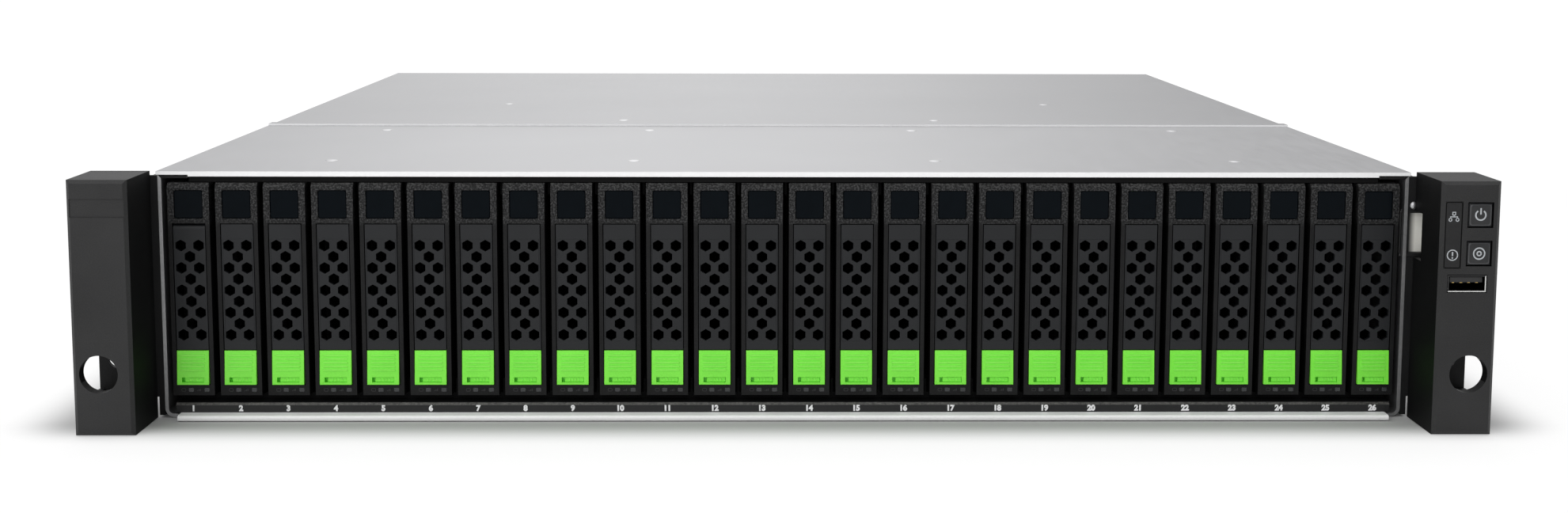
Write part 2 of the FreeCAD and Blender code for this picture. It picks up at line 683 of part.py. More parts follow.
def control_board():
    """The board behind the ear's face, with one switch for each key."""
    board = block(
        (EAR_INNER_X + EAR_WALL + SLIDE_GAP, EAR_OUTER_X - EAR_WALL - SLIDE_GAP),
        (BOARD_Y, BOARD_Y + BOARD),
        (BOARD_BOTTOM, BOARD_TOP),
    )
    switches = [
        block(centred(BUTTON_X, SWITCH_SIZE), (BOARD_Y - SWITCH_HEIGHT, BOARD_Y), centred(z, SWITCH_SIZE))
        for z in (POWER_Z, LOCATE_Z)
    ]
    return [board] + switches


def ribbon_cable():
    """Flat cable: from the board back through the bracket, through the wall and along it."""
    end = MIDPLANE_Y
    route = [
        V(CABLE_BOARD_X, BOARD_Y + BOARD, 0),
        V(CABLE_BOARD_X, CABLE_Y + CABLE, 0),
        V(CABLE_X + CABLE, CABLE_Y + CABLE, 0),
        V(CABLE_X + CABLE, end, 0),
        V(CABLE_X - CABLE_TAIL, end, 0),
        V(CABLE_X - CABLE_TAIL, end - CABLE, 0),
        V(CABLE_X, end - CABLE, 0),
        V(CABLE_X, CABLE_Y, 0),
        V(CABLE_BOARD_X - CABLE, CABLE_Y, 0),
        V(CABLE_BOARD_X - CABLE, BOARD_Y + BOARD, 0),
    ]
    lift = V(0, 0, CABLE_Z - CABLE_HEIGHT / 2)
    return extrude([p + lift for p in route], V(0, 0, CABLE_HEIGHT))


# Rear frame: two upright dividers and the shelf between the controllers
def rear_frame():
    span = (REAR - FRAME_LENGTH, REAR)
    dividers = [
        block((side * FRAME_X, side * (FRAME_X + FRAME_SHEET)), span, (SHEET, FLANGE_TOP))
        for side in (-1, 1)
    ]
    shelf = block((-FRAME_X, FRAME_X), span, (SHELF_Z, SHELF_Z + FRAME_SHEET))
    return dividers + [shelf]


# Controller: an open sheet tray with its face, board, heat sink, sockets and slot cover
def controller(floor, top):
    half = FRAME_X - SLIDE_GAP
    start = REAR - MODULE_LENGTH
    inner = (MODULE_SHEET - half, half - MODULE_SHEET)
    face_y = (REAR - MODULE_FACE, REAR)
    tub = block((-half, half), (start, REAR), (floor, top - TUB_DROP))
    tub = tub.cut(block(inner, (start, REAR), (floor + MODULE_SHEET, top)))
    face = block((-half, half), face_y, (floor, top))
    board_z = (floor + CONTROLLER_BOARD_Z, floor + CONTROLLER_BOARD_Z + BOARD)
    cuts = []
    pieces = []
    for size, places in ((RJ_SIZE, RJ_X), (SAS_SIZE, SAS_X)):
        for x in places:
            cuts.append(block(centred(x, size[0]), face_y, (board_z[1], board_z[1] + size[1])))
            pieces.append(port(x, board_z[1], size))
    slot_z = (floor + SLOT_Z, floor + SLOT_Z + SLOT_HEIGHT)
    cuts.append(block(centred(SLOT_X, SLOT_WIDTH), face_y, slot_z))
    pieces.append(block(centred(SLOT_X, SLOT_WIDTH), (REAR - SLOT_COVER, REAR), slot_z))
    board_start = start + BOARD_SETBACK
    pieces.append(block(inner, (board_start, REAR - MODULE_FACE), board_z))
    pieces.append(block(inner, (board_start, board_start + LEDGE), (floor + MODULE_SHEET, board_z[0])))
    pieces.append(heat_sink(board_z[1]))
    return [join(join(tub, face).cut(cuts), *lever_lugs(top), lever_pivot(top, BAR_PIN_RADIUS))] + pieces


def heat_sink(z):
    """A block with grooves along the air's way."""
    ys = (SINK_Y, SINK_Y + SINK_LENGTH)
    sink = block(centred(0, SINK_WIDTH), ys, (z, z + SINK_HEIGHT))
    pitch = SINK_WIDTH / (SINK_GROOVES + 1)
    grooves = [
        block(centred((k + 1) * pitch - SINK_WIDTH / 2, SINK_GROOVE), ys, (z + SINK_BASE, z + SINK_HEIGHT))
        for k in range(SINK_GROOVES)
    ]
    return sink.cut(grooves)


def port(x, z, size):
    """A socket shell, open to the rear."""
    width, height, depth = size
    shell = block(centred(x, width), (REAR - depth, REAR), (z, z + height))
    cavity = block(
        centred(x, width - 2 * PORT_SHELL),
        (REAR - depth + PORT_SHELL, REAR),
        (z + PORT_SHELL, z + height - PORT_SHELL),
    )
    return shell.cut(cavity)


def lever_lugs(top):
    """Two flat lugs on the face, above and below the extraction lever."""
    under = top - BAR_DROP - SLIDE_GAP
    over = top - BAR_DROP + BAR_HEIGHT + SLIDE_GAP
    ys = (REAR, REAR + BAR_DEPTH + 1.0)
    heights = ((under - BAR_LUG, under), (over, over + BAR_LUG))
    return [block(centred(BAR_X, BAR_LUG_WIDTH), ys, zs) for zs in heights]


def lever_pivot(top, radius):
    """The upright pin that a controller's extraction lever turns on."""
    start = V(BAR_X, REAR + BAR_DEPTH / 2, top - BAR_DROP - SLIDE_GAP - BAR_LUG / 2)
    return rod(start, V(0, 0, 1), radius, BAR_HEIGHT + 2 * SLIDE_GAP + BAR_LUG)


def controller_lever(top):
    """A flat bar along the face, with a round pivot end and a turned-out finger tab."""
    low = top - BAR_DROP
    near = REAR + SLIDE_GAP
    far = REAR + BAR_DEPTH - SLIDE_GAP
    tip = BAR_X - BAR_LENGTH
    profile = [
        V(BAR_X, near, low),
        V(BAR_X, far, low),
        V(tip + BAR_TAB, far, low),
        V(tip, REAR + REAR_REACH, low),
        V(tip, near, low),
    ]
    boss = rod(V(BAR_X, REAR + BAR_DEPTH / 2, low), V(0, 0, 1), (far - near) / 2, BAR_HEIGHT)
    lever_bar = join(extrude(profile, V(0, 0, BAR_HEIGHT)), boss)
    return lever_bar.cut(lever_pivot(top, BAR_PIN_RADIUS + PIN_GAP))


# Power module: a closed case with a fan behind slots, an inlet, a rocker switch and a bail handle
def power_module():
    """Right-hand module."""
    low_x = FRAME_X + FRAME_SHEET + SLIDE_GAP
    high_x = INSIDE_X - SLIDE_GAP
    zs = (SHEET + SLIDE_GAP, FLANGE_TOP - SHEET - SLIDE_GAP)
    start = REAR - MODULE_LENGTH
    case = block((low_x, high_x), (start, REAR), zs)
    foot = [e for e in case.Edges if e.CenterOfMass.x > high_x - 1e-6 and e.CenterOfMass.z < zs[0] + 1e-6]
    case = case.makeChamfer(FOLD_RADIUS - SHEET, foot)
    inside_z = (zs[0] + 2 * MODULE_SHEET, zs[1] - MODULE_SHEET)
    face_y = (REAR - MODULE_FACE, REAR)
    inside_x = (low_x + MODULE_SHEET, high_x - 2 * MODULE_SHEET)
    cavity = block(inside_x, (start + MODULE_SHEET, REAR - MODULE_FACE), inside_z)
    cuts = [cavity] + grille_slots()
    cuts.append(block(centred(INLET_X, INLET_SIZE[0]), face_y, centred(INLET_Z, INLET_SIZE[1])))
    cuts.append(rocker_space(REAR - MODULE_FACE))
    shell = join(case.cut(cuts), bail_lug(-1), bail_lug(1))
    core = block(
        (low_x + CORE_MARGIN, high_x - CORE_MARGIN),
        (start + CORE_FRONT, REAR - CORE_REAR),
        (inside_z[0], inside_z[1] - CORE_HEADROOM),
    )
    width, length, height = BACKPLUG
    plug = block(centred(FAN_X, width), (start - length, start), centred(BACKPLUG_Z, height))
    return [shell, fan_stay(inside_z), core, plug, inlet(), rocker_frame()]


def fan_stay(zs):
    """An upright stay across the case, with the shaft that the fan turns on."""
    back = REAR - FAN_SETBACK - FAN_DEPTH - FAN_STAY
    stay = block(centred(FAN_X, FAN_HUB_RADIUS), (back - FAN_STAY, back), zs)
    shaft = rod(V(FAN_X, back, FAN_Z), V(0, 1, 0), FAN_SHAFT_RADIUS, FAN_STAY + FAN_HUB_LENGTH)
    return join(stay, shaft)


def grille_slots():
    """Level slots whose lengths follow the fan's circle."""
    slots = []
    for k in range(GRILLE_SLOTS):
        offset = (k - (GRILLE_SLOTS - 1) / 2) * GRILLE_PITCH
        half = math.sqrt(FAN_RADIUS ** 2 - offset ** 2) - 1.0
        slots.append(block(
            (FAN_X - half, FAN_X + half),
            (REAR - MODULE_FACE, REAR),
            centred(FAN_Z + offset, GRILLE_SLOT),
        ))
    return slots


def inlet():
    """Mains inlet: a moulded cup with three blades."""
    width, height, depth = INLET_SIZE
    floor_y = REAR - depth + INLET_WALL
    cup = block(centred(INLET_X, width), (REAR - depth, REAR), centred(INLET_Z, height))
    cavity = block(
        centred(INLET_X, width - 2 * INLET_WALL), (floor_y, REAR), centred(INLET_Z, height - 2 * INLET_WALL)
    )
    blades = [
        block(
            centred(INLET_X + dx, INLET_BLADE),
            (floor_y, REAR - INLET_BLADE_SETBACK),
            centred(INLET_Z + dz, 2 * INLET_BLADE),
        )
        for dx, dz in ((-7.0, -2.0), (0.0, 2.0), (7.0, -2.0))
    ]
    return join(cup.cut(cavity), *blades)


def rocker_space(start):
    """The room that the switch key needs, from a depth out to the face."""
    width, height = ROCKER_SIZE
    return block(
        centred(INLET_X, width + 2 * BUTTON_GAP), (start, REAR), centred(ROCKER_Z, height + 2 * BUTTON_GAP)
    )


def rocker_frame():
    """The switch body behind the face, with the pin that its key turns on."""
    width, height = ROCKER_SIZE
    back = REAR - ROCKER_DEPTH - ROCKER_BODY
    body = block(
        centred(INLET_X, width + 2 * ROCKER_RIM),
        (back, REAR - MODULE_FACE),
        centred(ROCKER_Z, height + 2 * ROCKER_RIM),
    )
    body = body.cut(rocker_space(back + ROCKER_BODY / 2))
    return join(body, rocker_pin(ROCKER_PIN_RADIUS, width + ROCKER_RIM))


def rocker_pin(radius, length):
    return rod(V(INLET_X - length / 2, REAR - 2 * ROCKER_DEPTH / 3, ROCKER_Z), V(1, 0, 0), radius, length)


def rocker():
    """The switch key: its two faces slope, so that one end stands proud."""
    width, height = ROCKER_SIZE
    half = height / 2 - ROCKER_SWING
    x = INLET_X - width / 2
    back = REAR - ROCKER_DEPTH + 1.0
    profile = [
        V(x, back, ROCKER_Z - half + 1.5),
        V(x, REAR - 1.0, ROCKER_Z - half),
        V(x, REAR + 0.3, ROCKER_Z),
        V(x, REAR + ROCKER_PROUD, ROCKER_Z + half),
        V(x, back, ROCKER_Z + half - 1.5),
    ]
    return extrude(profile, V(width, 0, 0)).cut(rocker_pin(ROCKER_PIN_RADIUS + PIN_GAP, width + 2))


def bail_rod(x, radius, length):
    """A round bar on the handle's axis, centred on x."""
    return rod(V(x - length / 2, REAR + BAIL_AXIS_Y, BAIL_Z), V(1, 0, 0), radius, length)


def bail_lug(side):
    """One of two lugs that hold the handle's pins."""
    x = FAN_X + side * (BAIL_WIDTH / 2 + SLIDE_GAP + LUG / 2)
    lug = block(centred(x, LUG), (REAR, REAR + BAIL_AXIS_Y + LUG), centred(BAIL_Z, 2 * LUG))
    return lug.cut(bail_rod(x, BAIL_PIN_RADIUS + PIN_GAP, 2 * LUG))


def bail_handle():
    """A flat U-shaped pull that hangs round the fan slots, with a pin at each upper end."""
    ys = centred(REAR + BAIL_AXIS_Y, BAIL_BAR)
    bottom = BAIL_FOOT
    top = BAIL_Z + BAIL_BAR / 2
    outer = block(centred(FAN_X, BAIL_WIDTH), ys, (bottom, top))
    corners = [e for e in outer.Edges if abs(e.CenterOfMass.z - bottom) < 1e-6 and e.Length < BAIL_WIDTH - 1]
    outer = outer.makeFillet(BAIL_CORNER, corners)
    heads = [e for e in outer.Edges if abs(e.CenterOfMass.z - top) < 1e-6 and e.Length > BAIL_WIDTH - 1]
    outer = outer.makeChamfer(BAIL_HEAD, heads)
    gap = block(
        centred(FAN_X, BAIL_WIDTH - 2 * BAIL_BAR),
        (REAR, REAR + 2 * BAIL_BAR),
        (bottom + BAIL_BAR, top),
    )
    pins = []
    for side in (-1, 1):
        length = BAIL_BAR / 2 + SLIDE_GAP + LUG
        pins.append(bail_rod(FAN_X + side * (BAIL_WIDTH - BAIL_BAR + length) / 2, BAIL_PIN_RADIUS, length))
    return join(outer.cut(gap), *pins)


def fan_rotor():
    """Hub with one flat for each pitched blade, on the shaft of the fan's stay."""
    start = V(FAN_X, REAR - FAN_SETBACK - FAN_DEPTH, FAN_Z)
    sides = 2 * FAN_BLADES
    reach = FAN_HUB_RADIUS / math.cos(math.pi / sides)
    turns = [2 * math.pi * (k + 0.5) / sides for k in range(sides)]
    hub = extrude(
        [start + V(reach * math.sin(t), 0, reach * math.cos(t)) for t in turns], V(0, FAN_HUB_LENGTH, 0)
    )
    middle = start + V(0, FAN_HUB_LENGTH / 2, 0)
    blades = []
    for k in range(FAN_BLADES):
        blade = block(centred(0, FAN_CHORD), centred(0, FAN_BLADE), (FAN_HUB_RADIUS - 1.0, FAN_RADIUS - 1.0))
        blade.rotate(V(0, 0, 0), V(0, 0, 1), FAN_TWIST)
        blade.translate(middle)
        blade.rotate(middle, V(0, 1, 0), 360.0 * k / FAN_BLADES)
        blades.append(blade)
    bore = rod(start, V(0, 1, 0), FAN_SHAFT_RADIUS + PIN_GAP, FAN_HUB_LENGTH)
    return join(hub, *blades).cut(bore)


def save_trays():
    """Every tray is the same; the first one has its lever, latch and lock as nodes of their own."""
    place = V(tray_x(0), 0, 0)
    save("drive_tray_01", *[s.translated(place) for s in (tray_carrier(True), drive())])
    save("tray_lever_01", lever(True).translated(place))
    save("tray_latch_01", latch().translated(place))
    save("tray_lock_01", lock().translated(place))
    whole = [tray_carrier(False), drive(), lever(False), latch(), lock()]
    for i in range(1, TRAY_COUNT):
        place = V(tray_x(i), 0, 0)
        save(f"drive_tray_{i + 1:02d}", *[s.translated(place) for s in whole])


def save_rear():
    lower = SHEET + SLIDE_GAP
    upper = SHELF_Z + FRAME_SHEET + SLIDE_GAP
    heights = (("lower", lower, SHELF_Z - SLIDE_GAP), ("upper", upper, FLANGE_TOP - SLIDE_GAP))
    for name, floor, top in heights:
        save(f"controller_{name}", *controller(floor, top))
        save(f"controller_lever_{name}", controller_lever(top))
    pieces = {
        "power_module": power_module(),
        "module_handle": [bail_handle()],
        "fan_rotor": [fan_rotor()],
        "power_rocker": [rocker()],
    }
    for name, shapes in pieces.items():
        save(f"{name}_right", *shapes)
        save(f"{name}_left", *[mirrored(s) for s in shapes])


def main():
    os.makedirs("parts", exist_ok=True)
    save("chassis_base", chassis_base())
    save("front_cover", front_cover())
    save("rear_cover", rear_cover())
    save("upper_guides", *upper_guides())
    save("lower_guides", *lower_guides())
    save("number_strip", number_strip())
    save("midplane", *midplane())
    save("right_bracket", bracket(True))
    save("left_bracket", mirrored(bracket(False)))
    save("bracket_screws", *[bracket_stud(side, z) for side in (-1, 1) for z in STUD_Z])
    save("left_ear", left_ear())
    save("right_ear", right_ear())
    save("power_button", panel_button(POWER_Z))
    save("locate_button", panel_button(LOCATE_Z))
    save("indicator_window", indicator_window())
    save("usb_socket", usb_socket())
    save("control_board", *control_board())
    save("ribbon_cable", ribbon_cable())
    save("rear_frame", *rear_frame())
    save_trays()
    save_rear()


main()
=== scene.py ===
"""Looks of a two-unit rack storage array, built round its CAD frame. Metres, front towards -Y."""
import math

import bmesh
import bpy
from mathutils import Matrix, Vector
from mathutils.geometry import tessellate_polygon


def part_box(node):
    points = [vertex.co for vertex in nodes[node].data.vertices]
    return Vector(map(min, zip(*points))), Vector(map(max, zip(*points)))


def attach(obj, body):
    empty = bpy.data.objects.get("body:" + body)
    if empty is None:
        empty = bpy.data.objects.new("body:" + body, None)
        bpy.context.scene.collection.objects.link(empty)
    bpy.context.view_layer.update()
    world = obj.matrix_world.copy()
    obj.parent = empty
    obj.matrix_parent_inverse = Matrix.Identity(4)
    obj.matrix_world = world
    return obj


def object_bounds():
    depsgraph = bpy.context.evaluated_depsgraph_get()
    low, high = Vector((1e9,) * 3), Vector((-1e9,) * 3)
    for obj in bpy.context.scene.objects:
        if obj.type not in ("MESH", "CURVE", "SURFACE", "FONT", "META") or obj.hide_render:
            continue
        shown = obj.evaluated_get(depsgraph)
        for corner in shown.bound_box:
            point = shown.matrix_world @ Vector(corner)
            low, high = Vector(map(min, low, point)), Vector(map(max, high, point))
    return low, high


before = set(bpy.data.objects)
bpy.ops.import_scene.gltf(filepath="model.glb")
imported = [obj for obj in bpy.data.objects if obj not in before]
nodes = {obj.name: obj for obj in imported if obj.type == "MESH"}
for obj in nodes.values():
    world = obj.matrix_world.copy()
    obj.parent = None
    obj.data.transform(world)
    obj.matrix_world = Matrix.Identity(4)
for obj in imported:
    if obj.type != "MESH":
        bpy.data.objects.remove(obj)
cad_low, cad_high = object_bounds()

# Camera
# It stands a little left of the middle and looks down on the front, as the photograph does. Its lens
# is shifted a little, which keeps the uprights nearly parallel.
camera_place = (-0.01131, -0.94935, 0.17128)
camera_drop = 7.125
camera_roll = -0.0028
camera_pan = -0.01455
camera = bpy.data.objects.new("camera", bpy.data.cameras.new("camera"))
bpy.context.scene.collection.objects.link(camera)
camera.location = camera_place
camera.rotation_euler = (math.radians(90 - camera_drop), camera_roll, camera_pan)
camera.data.lens = 47.19
camera.data.sensor_width = 36
camera.data.shift_y = -0.045
bpy.context.scene.camera = camera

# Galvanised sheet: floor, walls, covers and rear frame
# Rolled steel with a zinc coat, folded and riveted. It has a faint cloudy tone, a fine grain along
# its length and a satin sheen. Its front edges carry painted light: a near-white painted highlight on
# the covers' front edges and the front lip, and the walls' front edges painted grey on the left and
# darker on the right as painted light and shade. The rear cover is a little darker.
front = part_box("front_cover")[0].y
flange_foot = 0.0848
skin = 0.0001
# Share of a face's normal along an axis, where the face looks that way and where it only leans that way
facing = 0.9
leaning = 0.5
tone_span = (0.35, 0.65)
sheen_spread = (-0.06, 0.08)
grain_depth = 0.0002


def mapped(tree, value, start, end, low=0.0, high=1.0, smooth=False):
    """A value that goes from low to high while another goes from start to end."""
    node = tree.nodes.new("ShaderNodeMapRange")
    if smooth:
        node.interpolation_type = "SMOOTHSTEP"
    for socket, limit in (("From Min", start), ("From Max", end), ("To Min", low), ("To Max", high)):
        node.inputs[socket].default_value = limit
    tree.links.new(value, node.inputs["Value"])
    return node.outputs["Result"]


def worked(tree, operation, first, second=None):
    """The result of a sum on one or two values, each a socket or a number."""
    node = tree.nodes.new("ShaderNodeMath")
    node.operation = operation
    for socket, value in zip(node.inputs, (first, second)):
        if isinstance(value, float):
            socket.default_value = value
        elif value is not None:
            tree.links.new(value, socket)
    return node.outputs["Value"]


def toned(tree, value, *stops):
    """A colour that follows a value through stops of a position and a colour."""
    node = tree.nodes.new("ShaderNodeValToRGB")
    elements = node.color_ramp.elements
    for k, (position, colour) in enumerate(stops):
        element = elements[k] if k < len(elements) else elements.new(position)
        element.position = position
        element.color = (*colour, 1)
    tree.links.new(value, node.inputs["Fac"])
    return node.outputs["Color"]


def noise(tree, vector, scale, detail):
    """A field of soft spots."""
    node = tree.nodes.new("ShaderNodeTexNoise")
    node.inputs["Scale"].default_value = scale
    node.inputs["Detail"].default_value = detail
    tree.links.new(vector, node.inputs["Vector"])
    return node.outputs["Fac"]


def surface(name, dark, light, cloud, grain, roughness, bump, metallic=0.0, stretch=(1, 1, 1), gloss=0.5,
            edge=0.0002):
    """A material of two close tones with a fine grain that also breaks up its sheen."""
    material = bpy.data.materials.new(name)
    material.use_nodes = True
    tree = material.node_tree
    shader = tree.nodes["Principled BSDF"]
    shader.inputs["Metallic"].default_value = metallic
    shader.inputs["Specular IOR Level"].default_value = gloss
    place = tree.nodes.new("ShaderNodeTexCoord").outputs["Object"]
    drawn = tree.nodes.new("ShaderNodeMapping")
    drawn.inputs["Scale"].default_value = stretch
    tree.links.new(place, drawn.inputs["Vector"])
    clouds = noise(tree, place, cloud, detail=4)
    fine = noise(tree, drawn.outputs["Vector"], grain, detail=3)
    mean = worked(tree, "MULTIPLY", worked(tree, "ADD", fine, clouds), 0.5)
    tree.links.new(toned(tree, mean, *zip(tone_span, (dark, light))), shader.inputs["Base Color"])
    sheen = mapped(tree, fine, 0.0, 1.0, *(roughness + spread for spread in sheen_spread))
    tree.links.new(sheen, shader.inputs["Roughness"])
    relief = tree.nodes.new("ShaderNodeBump")
    relief.inputs["Strength"].default_value = bump
    relief.inputs["Distance"].default_value = grain_depth
    tree.links.new(fine, relief.inputs["Height"])
    if edge:
        softened = tree.nodes.new("ShaderNodeBevel")
        softened.inputs["Radius"].default_value = edge
        tree.links.new(softened.outputs["Normal"], relief.inputs["Normal"])
    tree.links.new(relief.outputs["Normal"], shader.inputs["Normal"])
    return material


def paint(node, material):
    """The whole CAD node in one material."""
    mesh = nodes[node].data
    mesh.materials.clear()
    mesh.materials.append(material)


def paint_where(node, material, test):
    """The faces of a CAD node whose centre and normal pass the test, in one more material."""
    mesh = nodes[node].data
    mesh.materials.append(material)
    index = len(mesh.materials) - 1
    for face in mesh.polygons:
        if test(face.center, face.normal):
            face.material_index = index


rolled = (1, 0.12, 1)
galvanised = surface(
    "galvanised", dark=(0.42, 0.42, 0.432), light=(0.47, 0.47, 0.482),
    cloud=6, grain=500, roughness=0.40, bump=0.05, metallic=0.9, stretch=rolled)
rear_sheet = surface(
    "rear_sheet", dark=(0.386, 0.386, 0.397), light=(0.432, 0.432, 0.443),
    cloud=6, grain=500, roughness=0.40, bump=0.05, metallic=0.9, stretch=rolled)
for name in ("chassis_base", "front_cover", "rear_frame"):
    paint(name, galvanised)
paint("rear_cover", rear_sheet)
# Near-white painted highlight on the covers' front edges
painted_edge_highlight = surface(
    "painted_edge_highlight", dark=(0.92, 0.92, 0.93), light=(0.98, 0.98, 0.985),
    cloud=60, grain=900, roughness=0.45, bump=0.05)
for name in ("front_cover", "rear_cover"):
    paint_where(name, painted_edge_highlight, lambda c, n: n.y < -leaning)
# Near-white painted highlight on the chassis's front lip
painted_lip_highlight = surface(
    "painted_lip_highlight", dark=(0.93, 0.93, 0.93), light=(0.98, 0.98, 0.98),
    cloud=60, grain=900, roughness=0.4, bump=0.05)
paint_where("chassis_base", painted_lip_highlight, lambda c, n: c.y < front - skin)
# Lit and shaded copies of one edge: a painted highlight on the left wall's front edge, painted shade on
# the right wall's
painted_left_edge_light = surface(
    "painted_left_edge_light", dark=(0.32, 0.32, 0.325), light=(0.42, 0.42, 0.425),
    cloud=60, grain=900, roughness=0.45, bump=0.05, metallic=0.2)
painted_right_edge_shade = surface(
    "painted_right_edge_shade", dark=(0.15, 0.15, 0.152), light=(0.20, 0.20, 0.203),
    cloud=60, grain=900, roughness=0.45, bump=0.05, metallic=0.2)
for painted_edge_tone, side in ((painted_left_edge_light, -1), (painted_right_edge_shade, 1)):
    paint_where("chassis_base", painted_edge_tone, lambda c, n: (
        n.y < -facing and c.z < flange_foot and abs(c.y - front) < skin and c.x * side > 0))

# Brackets
# Steel angles in black powder coat, bolted to the chassis walls behind the ears. The front edges of
# the chassis's top flanges, beside them, are painted in the same black as painted shade.
bracket_black = surface(
    "bracket_black", dark=(0.005, 0.005, 0.0053), light=(0.009, 0.009, 0.0094),
    cloud=60, grain=1200, roughness=0.5, bump=0.3, gloss=0.2)
for name in ("left_bracket", "right_bracket"):
    paint(name, bracket_black)
# Painted shade: the bare flanges' front edges are painted black
paint_where("chassis_base", bracket_black, lambda c, n: (
    n.y < -facing and c.z > flange_foot and c.y < front + skin))

# Rivets on the covers
# Low round heads of bare steel. Two rows hold the guides under the front cover, and two pairs hold
# the dividers under the rear one.
rivet_radius = 0.0022
rivet_height = 0.0003
guide_rivet_rows = (0.0343, 0.1484)
guide_rivet_columns = (-0.165, -0.055, 0.055, 0.165)
divider_rivets = ((0.0687, 0.194), (0.129, 0.278))


def add_piece(name, material, body, slot, maker, *sizes):
    """One new piece, which a maker function builds in a mesh. It moves with a body of the frame."""
    form = bmesh.new()
    maker(form, *sizes)
    bmesh.ops.recalc_face_normals(form, faces=form.faces)
    mesh = bpy.data.meshes.new(name)
    form.to_mesh(mesh)
    form.free()
    mesh.materials.append(material)
    piece = bpy.data.objects.new(name, mesh)
    bpy.context.scene.collection.objects.link(piece)
    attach(piece, body)
    return piece


def skirt(form, loops):
    """Bands of faces from each closed loop of points to the next."""
    for low, high in zip(loops, loops[1:]):
        for k in range(len(low)):
            form.faces.new((low[k], low[k - 1], high[k - 1], high[k]))


def dome(form, centre, radius, height, normal=(0, 0, 1), levels=4, sides=20):
    """A low round head on a face."""
    turn = Vector((0, 0, 1)).rotation_difference(Vector(normal)).to_matrix()
    rings = []
    for level in range(levels):
        angle = level / levels * math.pi / 2
        reach, rise = radius * math.cos(angle), height * math.sin(angle)
        ring = []
        for k in range(sides):
            around = 2 * math.pi * k / sides
            local = Vector((math.cos(around) * reach, math.sin(around) * reach, rise))
            ring.append(form.verts.new(Vector(centre) + turn @ local))
        rings.append(ring)
    skirt(form, rings)
    top = form.verts.new(Vector(centre) + turn @ Vector((0, 0, height)))
    for k in range(sides):
        form.faces.new((rings[-1][k], rings[-1][k - 1], top))


def cover_rivets(form):
    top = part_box("front_cover")[1].z
    places = [(x, y) for y in guide_rivet_rows for x in guide_rivet_columns]
    places += [(x * side, y) for x, y in divider_rivets for side in (-1, 1)]
    for x, y in places:
        dome(form, (x, front + y, top), rivet_radius, rivet_height)


rivet_steel = surface(
    "rivet_steel", dark=(0.55, 0.55, 0.56), light=(0.7, 0.7, 0.71),
    cloud=60, grain=900, roughness=0.3, bump=0.05, metallic=0.95)
add_piece("cover_rivets", rivet_steel, "chassis", "steel", cover_rivets)

# Bracket screws
# Zinc-plated steel bolts that fix each bracket to the chassis wall. Each has a hexagon head outside
# and a square neck that can't turn in the sheet.
zinc_screw = surface(
    "zinc_screw", dark=(0.38, 0.38, 0.39), light=(0.5, 0.5, 0.51),
    cloud=80, grain=900, roughness=0.32, bump=0.08, metallic=1.0)
paint("bracket_screws", zinc_screw)

# Guides
# Moulded black rails that lead the trays, riveted under the front cover and clipped on the floor.
# Their front ends lie in the mouth of the chassis, under the cover's edge, and are painted darker as
# painted shade.
guide_black = surface(
    "guide_black", dark=(0.006, 0.006, 0.0065), light=(0.010, 0.010, 0.0105),
    cloud=60, grain=1500, roughness=0.55, bump=0.2, gloss=0.3)
# Painted shade on the guides' front faces
painted_mouth_shade = surface(
    "painted_mouth_shade", dark=(0.0024, 0.0024, 0.0026), light=(0.004, 0.004, 0.0042),
    cloud=60, grain=1500, roughness=0.6, bump=0.1, gloss=0.1)
for name in ("upper_guides", "lower_guides"):
    paint(name, guide_black)
    paint_where(name, painted_mouth_shade, lambda c, n: n.y < -facing)

# Midplane
# A thick green circuit board across the chassis, with a black moulded socket for each drive on its
# front. The rear modules plug into its back.
board_thick = 0.0031
board_green = surface(
    "board_green", dark=(0.008, 0.045, 0.025), light=(0.012, 0.07, 0.035),
    cloud=90, grain=700, roughness=0.42, bump=0.08)
socket_black = surface(
    "socket_black", dark=(0.012, 0.012, 0.013), light=(0.02, 0.02, 0.021),
    cloud=90, grain=1500, roughness=0.5, bump=0.1)
paint("midplane", board_green)
board_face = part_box("midplane")[1].y - board_thick
paint_where("midplane", socket_black, lambda c, n: c.y < board_face)

# Trays
# Charcoal mouldings with a coarse sparkle texture round the window and a paler painted highlight in
# the grains along the top edge, a smoother lever with hexagon vents, and a bright green thumb latch.
# The drive behind is a plain aluminium case.
bays = 26
trays = [f"{k:02d}" for k in range(1, bays + 1)]
crown_start = 0.0680
crown_full = 0.0705
brow_highlight_start = 0.0814
brow_highlight_full = 0.0829
sparkle_scale = 1600
lever_half = 0.00557
lever_depth = (0.0, 0.00201)
lever_height = (0.02405, 0.06865)
latch_depth = (-0.0012, 0.00502)
latch_height = (0.01178, 0.02382)
inside_half = 0.0069
inside_depth = (0.0021, 0.031)
inside_height = (0.009, 0.082)
drive_start = 0.0295
drive_height = (0.0105, 0.0804)


def node_of(tree, kind):
    """The first node of a kind in a material."""
    return next(node for node in tree.nodes if node.type == kind)


def along(tree, axis):
    """Where a point lies along an axis of the array."""
    split = tree.nodes.new("ShaderNodeSeparateXYZ")
    tree.links.new(node_of(tree, "TEX_COORD").outputs["Object"], split.inputs["Vector"])
    return split.outputs[axis]


def blended(tree, share, low, high):
    """A colour between two, each a socket or a plain colour."""
    node = tree.nodes.new("ShaderNodeMix")
    node.data_type = "RGBA"
    tree.links.new(share, node.inputs["Factor"])
    for socket, colour in (("A", low), ("B", high)):
        if isinstance(colour, tuple):
            node.inputs[socket].default_value = (*colour, 1)
        else:
            tree.links.new(colour, node.inputs[socket])
    return node.outputs["Result"]


